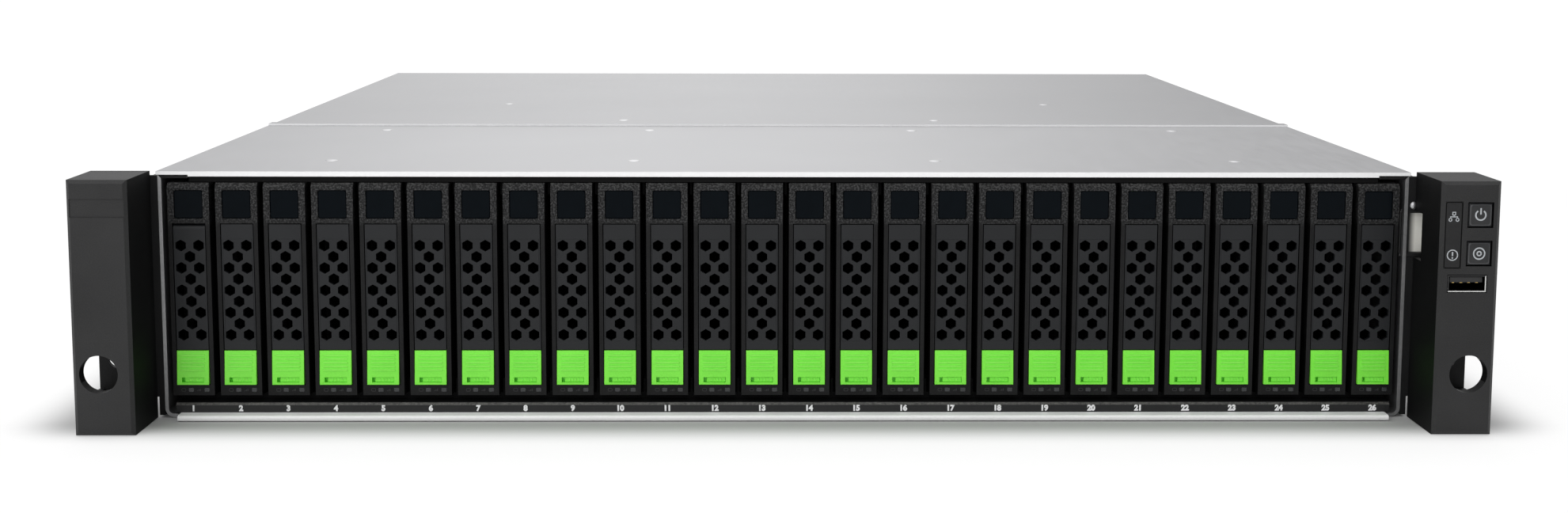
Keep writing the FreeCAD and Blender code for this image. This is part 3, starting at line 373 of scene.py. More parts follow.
tray_black = surface(
    "tray_black", dark=(0.002, 0.002, 0.0022), light=(0.007, 0.007, 0.0074),
    cloud=140, grain=1500, roughness=0.44, bump=0.35, gloss=0.2)
tree = tray_black.node_tree
height = along(tree, "Z")
crown = mapped(tree, height, crown_start, crown_full, low=0.05)
# Painted highlight: paler grains along each tray's top edge
brow_highlight = mapped(tree, height, brow_highlight_start, brow_highlight_full)
sparkle = noise(tree, node_of(tree, "TEX_COORD").outputs["Object"], sparkle_scale, detail=1)
crown_grains = toned(tree, sparkle, (0.46, (0.005, 0.005, 0.0054)), (0.64, (0.048, 0.048, 0.049)))
brow_highlight_grains = toned(tree, sparkle, (0.42, (0.022, 0.022, 0.0225)), (0.62, (0.088, 0.088, 0.087)))
tray_colour = tree.nodes["Principled BSDF"].inputs["Base Color"]
crowned = blended(tree, crown, tray_colour.links[0].from_socket, crown_grains)
tree.links.new(blended(tree, brow_highlight, crowned, brow_highlight_grains), tray_colour)
tree.links.new(crown, node_of(tree, "BUMP").inputs["Strength"])
lever_black = surface(
    "lever_black", dark=(0.0080, 0.0088, 0.0104), light=(0.0108, 0.0118, 0.0136),
    cloud=90, grain=2600, roughness=0.42, bump=0.12, gloss=0.3)
# Painted shade: a darker, matt black inside each tray and inside the ear socket's shell
painted_recess_shade = surface(
    "painted_recess_shade", dark=(0.0012, 0.0012, 0.0012), light=(0.002, 0.002, 0.002),
    cloud=90, grain=900, roughness=0.9, bump=0.1, gloss=0.0)
latch_green = surface(
    "latch_green", dark=(0.190, 0.83, 0.042), light=(0.232, 0.91, 0.058),
    cloud=70, grain=1800, roughness=0.38, bump=0.08)
drive_case = surface(
    "drive_case", dark=(0.30, 0.30, 0.31), light=(0.40, 0.40, 0.41),
    cloud=40, grain=800, roughness=0.4, bump=0.08, metallic=0.9)


def tray_middle(tray):
    """Where the tray's middle is across the array."""
    low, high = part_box(f"drive_tray_{tray}")
    return (low.x + high.x) / 2


def in_tray(middle, half, depth, height):
    """A test for faces in a box of one tray, with its depth counted from the front."""
    return lambda c, n: (
        abs(c.x - middle) < half and depth[0] < c.y - front < depth[1] and height[0] < c.z < height[1])


def in_drive(c, n):
    return c.y > front + drive_start and drive_height[0] < c.z < drive_height[1] and abs(n.z) <= facing


for tray in trays:
    name = f"drive_tray_{tray}"
    middle = tray_middle(tray)
    paint(name, tray_black)
    paint_where(name, drive_case, in_drive)
    paint_where(name, painted_recess_shade, in_tray(middle, inside_half, inside_depth, inside_height))
    paint_where(name, latch_green, in_tray(middle, lever_half, latch_depth, latch_height))
    paint_where(name, lever_black, in_tray(middle, lever_half, lever_depth, lever_height))
paint("tray_lever_01", lever_black)
paint("tray_latch_01", latch_green)
paint("tray_lock_01", latch_green)

# Vented panels
# A thin moulded panel with fourteen upright hexagons fills the window of each lever, apart from the
# first one, whose lever has the vents cut through it.
panel_half = 0.00509
panel_low = 0.02714
panel_high = 0.06336
panel_face = 0.0002
panel_back = 0.0020
vent_radius = 0.002076
vent_rows = 9
vent_top = 0.0611
vent_pitch = 0.0039625
vent_column = 0.003108


def vented_panel(form, middle):
    left, right = middle - panel_half, middle + panel_half
    loops = [[(left, panel_low), (right, panel_low), (right, panel_high), (left, panel_high)]]
    turns = [math.radians(60 * k) for k in range(6)]
    for row in range(vent_rows):
        z = vent_top - row * vent_pitch
        for column in (-vent_column, vent_column) if row % 2 == 0 else (0,):
            x = middle + column
            loops.append([(x + vent_radius * math.sin(t), z + vent_radius * math.cos(t)) for t in turns])
    sheets = []
    for y in (front + panel_face, front + panel_back):
        sheets.append([[form.verts.new((x, y, z)) for x, z in loop] for loop in loops])
    for sheet in sheets:
        corners = [corner for loop in sheet for corner in loop]
        for triangle in tessellate_polygon([[(x, z, 0) for x, z in loop] for loop in loops]):
            form.faces.new([corners[k] for k in triangle])
    for near, far in zip(*sheets):
        skirt(form, [near, far])


for tray in trays[1:]:
    middle = tray_middle(tray)
    add_piece(f"tray_vents_{tray}", lever_black, f"tray_{tray}", "black_plastic", vented_panel, middle)

# Tray windows
# A glossy blue-black tile with soft corners and a fine bevel, snapped into the recess at the top of
# each tray.
window_level = 0.0756
window_size = 0.0098
window_corner = 0.0008
window_back = 0.0008
window_face = 0.0003
window_bevel = 0.0002


def rounded(x, z, width, height, radius, parts=4):
    """Outline of an upright rectangle with round corners, in X and Z."""
    outline = []
    for k, (sx, sz) in enumerate(((1, 1), (-1, 1), (-1, -1), (1, -1))):
        for j in range(parts + 1):
            angle = math.pi / 2 * (k + j / parts)
            outline.append((x + sx * (width / 2 - radius) + radius * math.cos(angle),
                            z + sz * (height / 2 - radius) + radius * math.sin(angle)))
    return outline


def pad(form, outline, back, face, bevel):
    """A flat tile that stands on y = back, with its face at y = face and a bevelled rim."""
    cx = sum(p[0] for p in outline) / len(outline)
    cz = sum(p[1] for p in outline) / len(outline)
    reach = max(max(abs(p[0] - cx) for p in outline), max(abs(p[1] - cz) for p in outline))
    shrink = 1 - bevel / reach
    step = bevel if face > back else -bevel
    loops = []
    for y, s in ((back, 1), (face - step, 1), (face, shrink)):
        loops.append([form.verts.new((cx + (px - cx) * s, y, cz + (pz - cz) * s)) for px, pz in outline])
    skirt(form, loops)
    form.faces.new(loops[-1])
    form.faces.new(loops[0])


def tray_window(form, middle):
    outline = rounded(middle, window_level, window_size, window_size, window_corner)
    pad(form, outline, front + window_back, front + window_face, window_bevel)


window_gloss = surface(
    "window_gloss", dark=(0.0013, 0.0028, 0.0044), light=(0.0020, 0.0038, 0.0058),
    cloud=30, grain=300, roughness=0.13, bump=0.0, gloss=0.05)
for tray in trays:
    middle = tray_middle(tray)
    add_piece(f"tray_window_{tray}", window_gloss, f"tray_{tray}", "dark_window", tray_window, middle)

# Latch ridges and lock grips
# Five moulded grip bars across each latch's sloping face, and four short ones on its lock, in the
# same green as the latch but painted a little paler as a painted highlight.
latch_top = 0.0238
latch_slope = 0.0011
latch_slope_height = 0.011
ridges = 5
ridge_top = 0.0222
ridge_pitch = 0.0013
ridge_width = 0.0086
ridge_height = 0.00055
ridge_corner = 0.00027
ridge_proud = 0.0003
grips = 4
grip_pitch = 0.0011
grip_level = 0.0135
grip_size = (0.0005, 0.0011)
grip_corner = 0.00024
grip_back = 0.0005
grip_face = 0.0007
fine_bevel = 0.0001


def latch_ridges(form, middle):
    for k in range(ridges):
        z = ridge_top - k * ridge_pitch
        face = front - latch_slope * min(1.0, (latch_top - z) / latch_slope_height)
        outline = rounded(middle, z, ridge_width, ridge_height, ridge_corner, parts=3)
        pad(form, outline, face + skin, face - ridge_proud, fine_bevel)


def lock_grips(form, middle):
    for k in range(grips):
        outline = rounded(middle + (k - 1) * grip_pitch, grip_level, *grip_size, grip_corner, parts=3)
        pad(form, outline, front - grip_back, front - grip_face, fine_bevel)


# Painted highlight: the bars are a paler green than the latch
ridge_green_highlight = surface(
    "ridge_green_highlight", dark=(0.235, 0.87, 0.068), light=(0.29, 0.96, 0.094),
    cloud=70, grain=1800, roughness=0.34, bump=0.05)
for tray in trays:
    latch_body = "tray_01_latch" if tray == "01" else f"tray_{tray}"
    lock_body = "tray_01_lock" if tray == "01" else f"tray_{tray}"
    middle = tray_middle(tray)
    add_piece(f"latch_ridges_{tray}", ridge_green_highlight, latch_body, "green_plastic", latch_ridges, middle)
    add_piece(f"lock_grips_{tray}", ridge_green_highlight, lock_body, "green_plastic", lock_grips, middle)

# Tray lamps
# Two clear light pipes in each tray's lower lip, both unlit, each with a small dark-grey mark printed
# beside it: a drive's outline and a bar of three steps.
lamp_level = 0.00975
lamp_columns = (-0.001, 0.0045)
lamp_size = (0.0019, 0.0015)
lamp_corner = 0.0003
drive_mark_column = -0.0036
drive_mark_size = (0.0014, 0.0010)
drive_mark_line = 0.00014
steps = 3
steps_column = 0.0012
steps_pitch = 0.0005
steps_foot = 0.0093
steps_top = 0.0096
steps_rise = 0.0003
steps_line = 0.00022
mark_lift = 0.00002


def tray_lamps(form, middle):
    for column in lamp_columns:
        outline = rounded(middle + column, lamp_level, *lamp_size, lamp_corner, parts=3)
        pad(form, outline, front + skin, front - skin, fine_bevel)


def stroke(form, points, width, y, closed=False):
    """A flat printed line of one width along points in X and Z, mitred at its bends."""
    points = [Vector(p) for p in points]
    last = len(points) - 1
    edges = []
    for k, point in enumerate(points):
        ways = []
        if closed or k > 0:
            ways.append((point - points[k - 1]).normalized())
        if closed or k < last:
            ways.append((points[(k + 1) % (last + 1)] - point).normalized())
        course = (ways[0] + ways[-1]).normalized()
        reach = width / 2 / course.dot(ways[0])
        side = Vector((-course.y, course.x)) * reach
        edges.append([form.verts.new((p.x, y, p.y)) for p in (point + side, point - side)])
    for k in range(0 if closed else 1, last + 1):
        form.faces.new((*edges[k - 1], *reversed(edges[k])))


def tray_marks(form, middle):
    y = front - mark_lift
    drive = rounded(middle + drive_mark_column, lamp_level, *drive_mark_size, lamp_corner, parts=3)
    stroke(form, drive, drive_mark_line, y, closed=True)
    for k in range(steps):
        x = middle + steps_column + steps_pitch * k
        stroke(form, [(x, steps_foot), (x, steps_top + steps_rise * k)], steps_line, y)


mark_grey = surface(
    "mark_grey", dark=(0.024, 0.024, 0.0255), light=(0.032, 0.032, 0.034),
    cloud=300, grain=1500, roughness=0.6, bump=0.0, edge=0)
lamp_clear = surface(
    "lamp_clear", dark=(0.020, 0.0215, 0.0235), light=(0.030, 0.0315, 0.0335),
    cloud=200, grain=900, roughness=0.25, bump=0.0)
for tray in trays:
    middle = tray_middle(tray)
    add_piece(f"tray_lamps_{tray}", lamp_clear, f"tray_{tray}", "dark_window", tray_lamps, middle)
    add_piece(f"tray_marks_{tray}", mark_grey, f"tray_{tray}", "tray_plastic", tray_marks, middle)

# Number strip
# A black moulded strip, fixed on the chassis lip under the trays, with a plain printed number below
# each bay. Its upper edge is bevelled and carries a grainy painted highlight.
number_size = 0.0027
number_bold = 0.00018
number_thick = 0.00002
number_level = 0.0034
print_lift = 0.00003
strip_black = surface(
    "strip_black", dark=(0.006, 0.006, 0.0065), light=(0.010, 0.010, 0.011),
    cloud=60, grain=1800, roughness=0.4, bump=0.15, gloss=0.4)
# Painted highlight on the strip's bevelled upper edge
strip_edge_highlight = surface(
    "strip_edge_highlight", dark=(0.006, 0.006, 0.006), light=(0.10, 0.097, 0.09),
    cloud=900, grain=1900, roughness=0.4, bump=0.3)
print_grey = surface(
    "print_grey", dark=(0.84, 0.84, 0.85), light=(0.92, 0.92, 0.93),
    cloud=300, grain=1500, roughness=0.6, bump=0.0, edge=0)
paint("number_strip", strip_black)
paint_where("number_strip", strip_edge_highlight, lambda c, n: n.z > leaning and n.y < -leaning)
strip_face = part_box("number_strip")[0].y
for bay, tray in enumerate(trays, 1):
    text = bpy.data.curves.new(f"bay_number_{tray}", "FONT")
    text.body = str(bay)
    text.align_x = "CENTER"
    text.align_y = "CENTER"
    text.size = number_size
    text.bevel_depth = number_bold
    text.bevel_resolution = 0
    text.extrude = number_thick
    figure = bpy.data.objects.new(f"bay_number_{tray}", text)
    bpy.context.scene.collection.objects.link(figure)
    figure.location = (tray_middle(tray), strip_face - print_lift, number_level)
    figure.rotation_euler = (math.pi / 2, 0, 0)
    text.materials.append(print_grey)
    bpy.context.view_layer.update()
    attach(figure, "chassis")

# Ears
# Hollow charcoal mouldings with a fine spark-eroded texture, clipped over the steel brackets. Their
# inner sides have a smoother texture and are painted darker as painted shade.
ear_charcoal = surface(
    "ear_charcoal", dark=(0.015, 0.015, 0.0155), light=(0.026, 0.026, 0.0265),
    cloud=40, grain=2200, roughness=0.5, bump=0.5, gloss=0.3)
# Painted shade on the ears' inner sides
shaded_ear_side = surface(
    "shaded_ear_side", dark=(0.0038, 0.0038, 0.0040), light=(0.0070, 0.0070, 0.0072),
    cloud=40, grain=2200, roughness=0.6, bump=0.3, gloss=0.08)
for name, side in (("left_ear", 1), ("right_ear", -1)):
    paint(name, ear_charcoal)
    paint_where(name, shaded_ear_side, lambda c, n: n.x * side > facing)

# Keys
# Two square black keys in the right ear, each on a sprung stem. Each has a low four-sided crown,
# whose sloping rim is painted paler as a painted highlight.
keys = ("power_button", "locate_button")
crown_steps = ((0.0073, 0.0), (0.0066, 0.00012), (0.0036, 0.00016))
crown_corner = 0.12
rim_tilt = 0.05
key_black = surface(
    "key_black", dark=(0.011, 0.0115, 0.0125), light=(0.018, 0.0185, 0.020),
    cloud=60, grain=1500, roughness=0.34, bump=0.08, gloss=0.4)
# Painted highlight on the crowns' sloping rims
key_rim_highlight = surface(
    "key_rim_highlight", dark=(0.030, 0.031, 0.034), light=(0.046, 0.047, 0.051),
    cloud=60, grain=1500, roughness=0.3, bump=0.05)


def face_middle(node):
    """The middle of a CAD node across and in height, and where its front is."""
    low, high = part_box(node)
    return (low.x + high.x) / 2, (low.z + high.z) / 2, low.y


def key_crown(form, node):
    x, z, face = face_middle(node)
    loops = []
    for size, lift in crown_steps:
        outline = rounded(x, z, size, size, size * crown_corner)
        loops.append([form.verts.new((px, face - lift, pz)) for px, pz in outline])
    skirt(form, loops)
    form.faces.new(loops[-1])


for name in keys:
    paint(name, key_black)
    key_top = add_piece(f"{name}_crown", key_black, name, "ear_plastic", key_crown, name)
    key_top.data.materials.append(key_rim_highlight)
    for face in key_top.data.polygons:
        if abs(face.normal.x) + abs(face.normal.z) > rim_tilt:
            face.material_index = 1

# Symbols on the keys
# Pale grey prints on the two crowns: a broken ring with a bar for power, and two rings for locating
# the array in a rack.
symbol_lift = 0.00018
power_line = 0.0005
power_radius = 0.0017
power_turn = (125, 415)
power_bar = (0.0002, 0.0024)
locate_line = 0.00045
locate_inner = 0.0007
locate_outer = 0.0019


def arc(x, z, radius, start=0, end=360, parts=24):
    """Points on a circle between two angles in degrees."""
    angles = [math.radians(start + (end - start) * k / parts) for k in range(parts + 1)]
    return [(x + radius * math.cos(t), z + radius * math.sin(t)) for t in angles]


def power_symbol(form):
    x, z, face = face_middle("power_button")
    y = face - symbol_lift
    stroke(form, arc(x, z, power_radius, *power_turn), power_line, y)
    stroke(form, [(x, z + end) for end in power_bar], power_line, y)


def locate_symbol(form):
    x, z, face = face_middle("locate_button")
    y = face - symbol_lift
    stroke(form, arc(x, z, locate_inner, parts=16), locate_line, y)
    stroke(form, arc(x, z, locate_outer), locate_line, y)


symbol_grey = surface(
    "symbol_grey", dark=(0.38, 0.40, 0.42), light=(0.46, 0.48, 0.50),
    cloud=300, grain=1500, roughness=0.6, bump=0.0, edge=0)
add_piece("power_symbol", symbol_grey, "power_button", None, power_symbol)
add_piece("locate_symbol", symbol_grey, "locate_button", None, locate_symbol)

# Indicator window
# A dark smoked strip let into the right ear beside the keys, with a dark seam round it. A network
# sign and a caution sign are printed on it in the grey of the keys' symbols.
network_level = 0.0754
network_line = 0.0003
network_half = 0.0012
network_box = 0.00048
network_box_rise = 0.0011
network_ring = 0.0005
network_ring_drop = 0.0010
network_stem = (0.00015, 0.00047)
caution_level = 0.0623
caution_radius = 0.00175
caution_line = 0.00036
caution_bar = (-0.0003, 0.0011)
caution_dot = (-0.0012, -0.0007)
caution_bar_line = 0.0005
seam_size = (0.0054, 0.0224)
seam_corner = 0.0006
seam_line = 0.00026


def network_sign(form, x, z, y):
    box_z = z + network_box_rise
    corners = ((-1, -1), (1, -1), (1, 1), (-1, 1))
    box = [(x + sx * network_box, box_z + sz * network_box) for sx, sz in corners]
    stroke(form, box, network_line, y, closed=True)
    for side in (-1, 1):
        ring = arc(x + side * network_half, z - network_ring_drop, network_ring, parts=12)
        stroke(form, ring, network_line, y)
    left, right, foot = x - network_half, x + network_half, z - network_ring
    stroke(form, [(left, foot), (left, z), (right, z), (right, foot)], network_line, y)
    stroke(form, [(x, z + end) for end in network_stem], network_line, y)


def caution_sign(form, x, z, y):
    stroke(form, arc(x, z, caution_radius), caution_line, y)
    stroke(form, [(x, z + end) for end in caution_bar], caution_bar_line, y)
    stroke(form, [(x, z + end) for end in caution_dot], caution_bar_line, y)


def window_symbols(form):
    low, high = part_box("indicator_window")
    x, y = (low.x + high.x) / 2, low.y - print_lift
    network_sign(form, x, network_level, y)
    caution_sign(form, x, caution_level, y)


def window_seam(form):
    x, z, face = face_middle("indicator_window")
    stroke(form, rounded(x, z, *seam_size, seam_corner), seam_line, face - print_lift, closed=True)


indicator_smoke = surface(
    "indicator_smoke", dark=(0.011, 0.011, 0.0115), light=(0.016, 0.016, 0.0165),
    cloud=60, grain=900, roughness=0.3, bump=0.05, gloss=0.25)
seam_black = surface(
    "seam_black", dark=(0.002, 0.002, 0.0021), light=(0.003, 0.003, 0.0031),
    cloud=60, grain=900, roughness=0.7, bump=0.0, gloss=0.1, edge=0)
paint("indicator_window", indicator_smoke)
add_piece("window_symbols", symbol_grey, "chassis", None, window_symbols)
add_piece("window_seam", seam_black, "chassis", "ear_plastic", window_seam)

# Socket in the right ear
# A nickel-plated shell, soldered to the control board. The inside of the shell and the upper and left
# edges of its mouth are painted black as painted shade, so only its lower and right edges show bright.
# A black tongue inside carries four gold contacts.
shell_margin = 0.0002
mouth_rim = 0.0004
tongue_side = 0.0009
tongue_foot = 0.003
tongue_roof = 0.0005
ear_contacts = 4
ear_contact_first = -0.0045
ear_contact_pitch = 0.0027
ear_contact_width = 0.0009
ear_contact_thick = 0.0004
ear_contact_depth = (0.0022, 0.0090)
ear_contact_rise = 0.0003
nickel = surface(
    "nickel", dark=(0.60, 0.60, 0.59), light=(0.74, 0.74, 0.73),
    cloud=90, grain=900, roughness=0.24, bump=0.05, metallic=1.0)
contact_gold = surface(
    "contact_gold", dark=(0.70, 0.48, 0.16), light=(0.82, 0.58, 0.22),
    cloud=300, grain=900, roughness=0.3, bump=0.0, metallic=1.0)
shell_low, shell_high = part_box("usb_socket")


def in_shell(c, n):
    return (shell_low.x + shell_margin < c.x < shell_high.x - shell_margin
            and shell_low.z + shell_margin < c.z < shell_high.z - shell_margin
            and c.y > shell_low.y + shell_margin)


def in_tongue(c, n):
    return (shell_low.x + tongue_side < c.x < shell_high.x - tongue_side
            and shell_low.z + tongue_foot < c.z < shell_high.z - tongue_roof)


def in_dark_mouth(c, n):
    return n.y < -facing and c.x < shell_high.x - mouth_rim and c.z > shell_low.z + mouth_rim


def bar(form, low, high):
    """A plain block between two corners."""
    centre = [(a + b) / 2 for a, b in zip(low, high)]
    size = [b - a for a, b in zip(low, high)]
    block = bmesh.ops.create_cube(form, size=1)
    bmesh.ops.scale(form, vec=size, verts=block["verts"])
    bmesh.ops.translate(form, vec=centre, verts=block["verts"])


def socket_contacts(form):
    x, z, mouth = face_middle("usb_socket")
    near, far = (mouth + depth for depth in ear_contact_depth)
    top = z + ear_contact_rise
    for k in range(ear_contacts):
        left = x + ear_contact_first + ear_contact_pitch * k
        bar(form, (left, near, top - ear_contact_thick), (left + ear_contact_width, far, top))


paint("usb_socket", nickel)
# Painted shade: the nickel inside the shell and the mouth's upper and left edges are painted black
paint_where("usb_socket", painted_recess_shade, in_shell)
paint_where("usb_socket", socket_black, in_tongue)
paint_where("usb_socket", socket_black, in_dark_mouth)
add_piece("socket_contacts_ear", contact_gold, "chassis", None, socket_contacts)

# Control board
# A small green board on two posts behind the right ear's face, with a black moulded switch behind
# each key.
control_board_thick = 0.00161
control_board_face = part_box("control_board")[1].y - control_board_thick
paint("control_board", board_green)
paint_where("control_board", socket_black, lambda c, n: c.y < control_board_face)

# Flat cable
# Cream flat cable from the control board through the bracket, running on along the wall's inside to
# the midplane. From the wall inwards it is painted black as painted shade, fading to cream just outside.
wall_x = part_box("chassis_base")[1].x
cable_shade_end = 0.0016
cable_shade_fade = 0.0038
painted_cable_shade = (0.006, 0.006, 0.0065)
cable_cream = surface(
    "cable_cream", dark=(0.93, 0.91, 0.84), light=(0.99, 0.98, 0.93),
    cloud=60, grain=900, roughness=0.42, bump=0.05, stretch=(1, 1, 9))
tree = cable_cream.node_tree
# Painted shade: black up to just outside the wall, fading to cream
cable_unshaded = mapped(tree, along(tree, "X"), wall_x + cable_shade_end, wall_x + cable_shade_fade)
cable_colour = tree.nodes["Principled BSDF"].inputs["Base Color"]
tree.links.new(blended(tree, cable_unshaded, painted_cable_shade, cable_colour.links[0].from_socket), cable_colour)
paint("ribbon_cable", cable_cream)

# Cable grommet
# Two black rubber strips that close the bracket's window above and below the flat cable.
# They are pressed in behind the bracket's face.
grommet_middle = 0.0062
grommet_width = 0.0118
grommet_corner = 0.0002
grommet_depth = (0.0004, 0.0029)
lower_strip_drop = 0.0002
lower_strip_height = 0.0015
upper_strip_rise = 0.0005
upper_strip_height = 0.0009
cable_low, cable_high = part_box("ribbon_cable")


def cable_grommet(form):
    near, far = (front + depth for depth in grommet_depth)
    strips = ((cable_low.z - lower_strip_drop, lower_strip_height),
              (cable_high.z + upper_strip_rise, upper_strip_height))
    for z, height in strips:
        outline = rounded(wall_x + grommet_middle, z, grommet_width, height, grommet_corner, parts=2)
        pad(form, outline, far, near, fine_bevel)


add_piece("cable_grommet", guide_black, "chassis", "black_plastic", cable_grommet)

# Cable screw
# A small zinc-plated pan head, driven into the bracket above the flat cable. It holds the upper
# rubber strip in its place.
screw_middle = 0.0020
screw_rise = 0.0028
screw_radius = 0.0014
screw_height = 0.0009
screw_place = (wall_x + screw_middle, front, cable_high.z + screw_rise)
add_piece("cable_screw", zinc_screw, "chassis", "steel",
          dome, screw_place, screw_radius, screw_height, (0, -1, 0))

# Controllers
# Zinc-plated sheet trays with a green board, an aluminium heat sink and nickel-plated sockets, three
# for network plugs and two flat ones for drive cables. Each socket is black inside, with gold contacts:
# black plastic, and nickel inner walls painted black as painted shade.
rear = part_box("chassis_base")[1].y
board_top = 0.0056
board_limit = 0.00561
board_foot = 0.0039
board_half = 0.1113
board_end = 0.0019
sink_half = 0.0401
sink_end = 0.06
sockets_span = (-0.101, 0.006)
sockets_top = 0.0193
sockets_depth = (0.0021, 0.021)
network_sockets = (-0.0920, -0.0730, -0.0540)
network_size = (0.0162, 0.0136, 0.0170)
drive_sockets = (-0.0260, -0.0050)
drive_size = (0.0170, 0.0082, 0.0200)
network_lefts = [-0.0041 + 0.00102 * k for k in range(8)]
drive_lefts = [-0.0060 + 0.00133 * k for k in range(9)]
# Contacts and tongues: width, depth from the rear, height above the board
network_contact = (0.00045, (0.004, 0.014), (0.0098, 0.0101))
network_tongue = (0.0100, (0.0035, 0.0165), (0.0101, 0.0128))
drive_contact = (0.0007, (0.003, 0.012), (0.0052, 0.0053))
drive_tongue = (0.0130, (0.0025, 0.0195), (0.0034, 0.0052))
sink_alloy = surface(
    "sink_alloy", dark=(0.50, 0.51, 0.52), light=(0.62, 0.63, 0.64),
    cloud=50, grain=900, roughness=0.4, bump=0.08, metallic=0.9)


def socket_bars(form, base, sockets, lefts, size):
    """Bars of one size in each socket, with their left sides given from its middle."""
    width, (near, far), (foot, top) = size
    for x in sockets:
        for left in lefts:
            low = (x + left, rear - far, base + foot)
            bar(form, low, (x + left + width, rear - near, base + top))


def rear_contacts(form, base):
    socket_bars(form, base, network_sockets, network_lefts, network_contact)
    socket_bars(form, base, drive_sockets, drive_lefts, drive_contact)


def rear_tongues(form, base):
    socket_bars(form, base, drive_sockets, [-drive_tongue[0] / 2], drive_tongue)
    socket_bars(form, base, network_sockets, [-network_tongue[0] / 2], network_tongue)


def in_cavity(base):
    """A test for faces inside the sockets of a controller whose board's top is at a height."""
    cavities = [(x, *network_size) for x in network_sockets] + [(x, *drive_size) for x in drive_sockets]

    def test(c, n):
        return c.y <= rear - shell_margin and any(
            abs(c.x - x) < width / 2 - shell_margin
            and shell_margin < c.z - base < height - shell_margin
            and c.y > rear - depth + shell_margin
            for x, width, height, depth in cavities)

    return test


def on_board(floor):
    return lambda c, n: (
        board_foot < c.z - floor < board_limit and c.y < rear - board_end and abs(c.x) < board_half)


def on_sink(floor):
    return lambda c, n: abs(c.x) < sink_half and c.z - floor > board_limit and c.y < rear - sink_end


def on_sockets(floor):
    return lambda c, n: (
        sockets_span[0] < c.x < sockets_span[1] and board_top < c.z - floor < sockets_top
        and rear - sockets_depth[1] < c.y < rear - sockets_depth[0])


for storey in ("lower", "upper"):
    name = f"controller_{storey}"
    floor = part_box(name)[0].z
    base = floor + board_top
    paint(name, galvanised)
    paint_where(name, board_green, on_board(floor))
    paint_where(name, sink_alloy, on_sink(floor))
    paint_where(name, nickel, on_sockets(floor))
    # Black plastic and painted shade: every face inside the sockets, nickel walls too, is painted black
    paint_where(name, socket_black, in_cavity(base))
    add_piece(f"socket_contacts_{storey}", contact_gold, name, None, rear_contacts, base)
    add_piece(f"socket_tongues_{storey}", socket_black, name, None, rear_tongues, base)
    paint(f"controller_lever_{storey}", latch_green)

# Power modules
# Zinc-plated cases with level fan slots, a black mains inlet and the black frame of the rocker switch
# above it. Handle and fan are moulded in black too.
inlet_span = (0.1904, 0.2146)
inlet_height = (0.0174, 0.0366)
inlet_depth = 0.0161
rocker_span = (0.193, 0.212)
rocker_height = (0.048, 0.072)
rocker_depth = (0.0019, 0.0151)
for side, sign in (("left", -1), ("right", 1)):
    name = f"power_module_{side}"
    paint(name, galvanised)
    paint_where(name, socket_black, lambda c, n: (
        inlet_span[0] < c.x * sign < inlet_span[1] and inlet_height[0] < c.z < inlet_height[1]
        and abs(c.y - rear) < inlet_depth))
    paint_where(name, socket_black, lambda c, n: (
        rocker_span[0] < c.x * sign < rocker_span[1] and rocker_height[0] < c.z < rocker_height[1]
        and rocker_depth[0] < rear - c.y < rocker_depth[1]))
    paint(f"module_handle_{side}", guide_black)
    paint(f"fan_rotor_{side}", guide_black)
    paint(f"power_rocker_{side}", key_black)

# Table
# A white table top under the array, with a painted shadow: its colour is darker at the array's foot.
# It keeps the shadow there and goes over to white where the camera or a shiny face sees it further out.
table_half = 6
table_drop = 0.0002
foot_shadow_end = (0.004, 0.034)
white_end = (0.2, 0.5)
shadow_kept = 0.7
painted_foot_shadow = (0.48, 0.48, 0.48)
table_glow = 1.05
lip_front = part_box("chassis_base")[0].y
table_mesh = bpy.data.meshes.new("floor")
table_corners = [(x * table_half, y * table_half, 0) for x, y in ((-1, -1), (1, -1), (1, 1), (-1, 1))]
table_mesh.from_pydata(table_corners, [], [(0, 1, 2, 3)])
table = bpy.data.objects.new("floor", table_mesh)
table.location.z = -table_drop
bpy.context.scene.collection.objects.link(table)
table_white = surface(
    "table_white", dark=(0.90, 0.90, 0.90), light=(0.93, 0.93, 0.93),
    cloud=3, grain=200, roughness=0.8, bump=0.0, gloss=0.1)
tree = table_white.node_tree
shader = tree.nodes["Principled BSDF"]
outward = node_of(tree, "TEX_COORD").outputs["Object"]
origin = (0, 0, 0)
for step, size in (("ABSOLUTE", origin), ("SUBTRACT", (cad_high.x, -lip_front, 0)), ("MAXIMUM", origin)):
    outside = tree.nodes.new("ShaderNodeVectorMath")
    outside.operation = step
    outside.inputs[1].default_value = size
    tree.links.new(outward, outside.inputs[0])
    outward = outside.outputs["Vector"]
measure = tree.nodes.new("ShaderNodeVectorMath")
measure.operation = "LENGTH"
tree.links.new(outward, measure.inputs[0])
distance = measure.outputs["Value"]
fade = mapped(tree, distance, *foot_shadow_end, smooth=True)
table_colour = shader.inputs["Base Color"]
# Painted shadow: the table's colour is darker grey at the array's foot
tree.links.new(blended(tree, fade, painted_foot_shadow, table_colour.links[0].from_socket), table_colour)
path = tree.nodes.new("ShaderNodeLightPath")
seen = worked(tree, "MAXIMUM", path.outputs["Is Camera Ray"], path.outputs["Is Glossy Ray"])
whitened = worked(tree, "MULTIPLY", fade, mapped(tree, distance, *white_end, low=shadow_kept))
glow = tree.nodes.new("ShaderNodeEmission")
glow.inputs["Strength"].default_value = table_glow
spread = tree.nodes.new("ShaderNodeMixShader")
tree.links.new(worked(tree, "MULTIPLY", whitened, seen), spread.inputs["Fac"])
tree.links.new(shader.outputs["BSDF"], spread.inputs[1])
tree.links.new(glow.outputs["Emission"], spread.inputs[2])
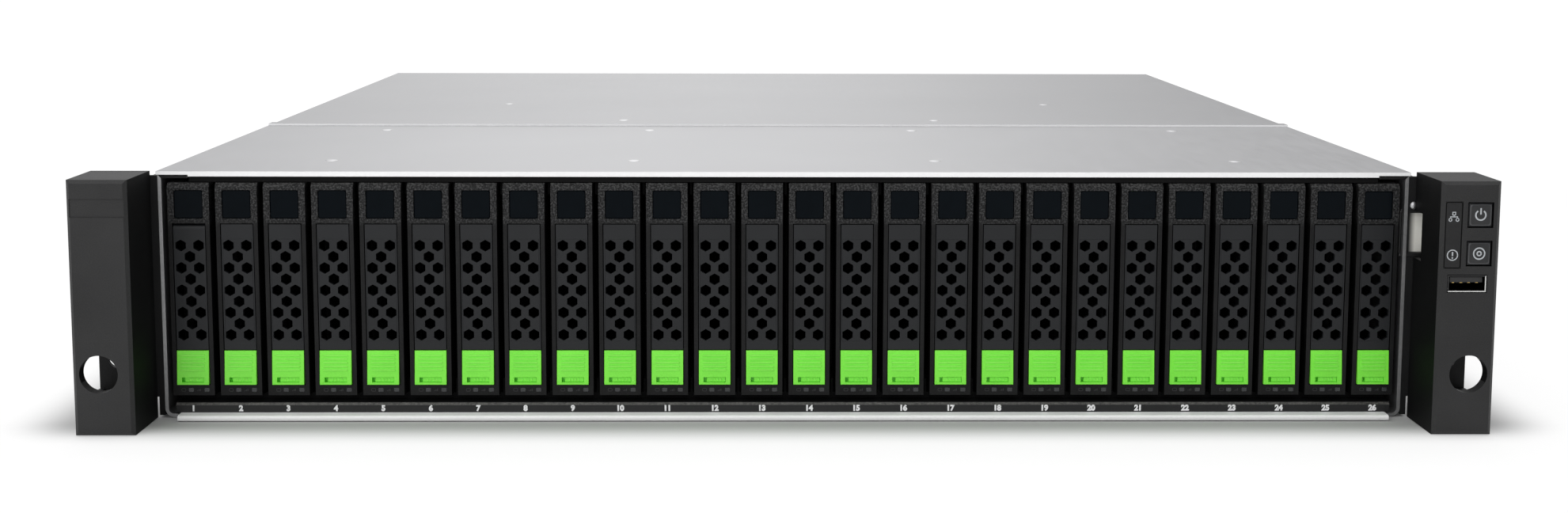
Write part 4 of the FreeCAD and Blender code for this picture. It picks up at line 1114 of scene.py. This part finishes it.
tree.links.new(spread.outputs["Shader"], tree.nodes["Material Output"].inputs["Surface"])
table_mesh.materials.append(table_white)


# Light
# A large soft box above and a wide fill from the left front. The room is bright behind the array and
# darker on the camera's side, with a dark band either side of the middle that shades the covers.
def soft_light(name, place, aim, width, height, power):
    lamp = bpy.data.lights.new(name, "AREA")
    lamp.shape = "RECTANGLE"
    lamp.size = width
    lamp.size_y = height
    lamp.energy = power
    holder = bpy.data.objects.new(name, lamp)
    bpy.context.scene.collection.objects.link(holder)
    holder.location = place
    holder.rotation_euler = (Vector(aim) - Vector(place)).to_track_quat("-Z", "Y").to_euler()


soft_light("top_softbox", place=(0, 0.1, 1.6), aim=(0, 0, 0), width=2.4, height=1.8, power=18)
soft_light("front_fill", place=(-0.9, -1.9, 1.2), aim=(0, -0.2, 0.05), width=3.2, height=2.4, power=34)
band_shift = 0.05
band_stops = ((0.0, (1.0, 1.0, 1.0)), (0.35, (0.42, 0.42, 0.42)), (0.9, (0.8, 0.8, 0.8)))
world = bpy.data.worlds.new("room")
bpy.context.scene.world = world
world.use_nodes = True
tree = world.node_tree
direction = tree.nodes.new("ShaderNodeSeparateXYZ")
tree.links.new(tree.nodes.new("ShaderNodeTexCoord").outputs["Generated"], direction.inputs["Vector"])
depth = mapped(tree, direction.outputs["Y"], start=-0.5, end=0.8, low=0.35, high=1.25, smooth=True)
sideways = worked(tree, "ABSOLUTE", worked(tree, "ADD", direction.outputs["X"], band_shift))
band = toned(tree, sideways, *band_stops)
band.node.color_ramp.interpolation = "EASE"
path = tree.nodes.new("ShaderNodeLightPath")
backdrop = tree.nodes.new("ShaderNodeMix")
backdrop.data_type = "FLOAT"
backdrop.inputs["B"].default_value = 1.0
tree.links.new(path.outputs["Is Camera Ray"], backdrop.inputs["Factor"])
tree.links.new(worked(tree, "MULTIPLY", depth, band), backdrop.inputs["A"])
background = tree.nodes["Background"]
background.inputs["Color"].default_value = (1, 1, 1, 1)
tree.links.new(backdrop.outputs["Result"], background.inputs["Strength"])
bpy.context.scene.view_settings.view_transform = "Standard"
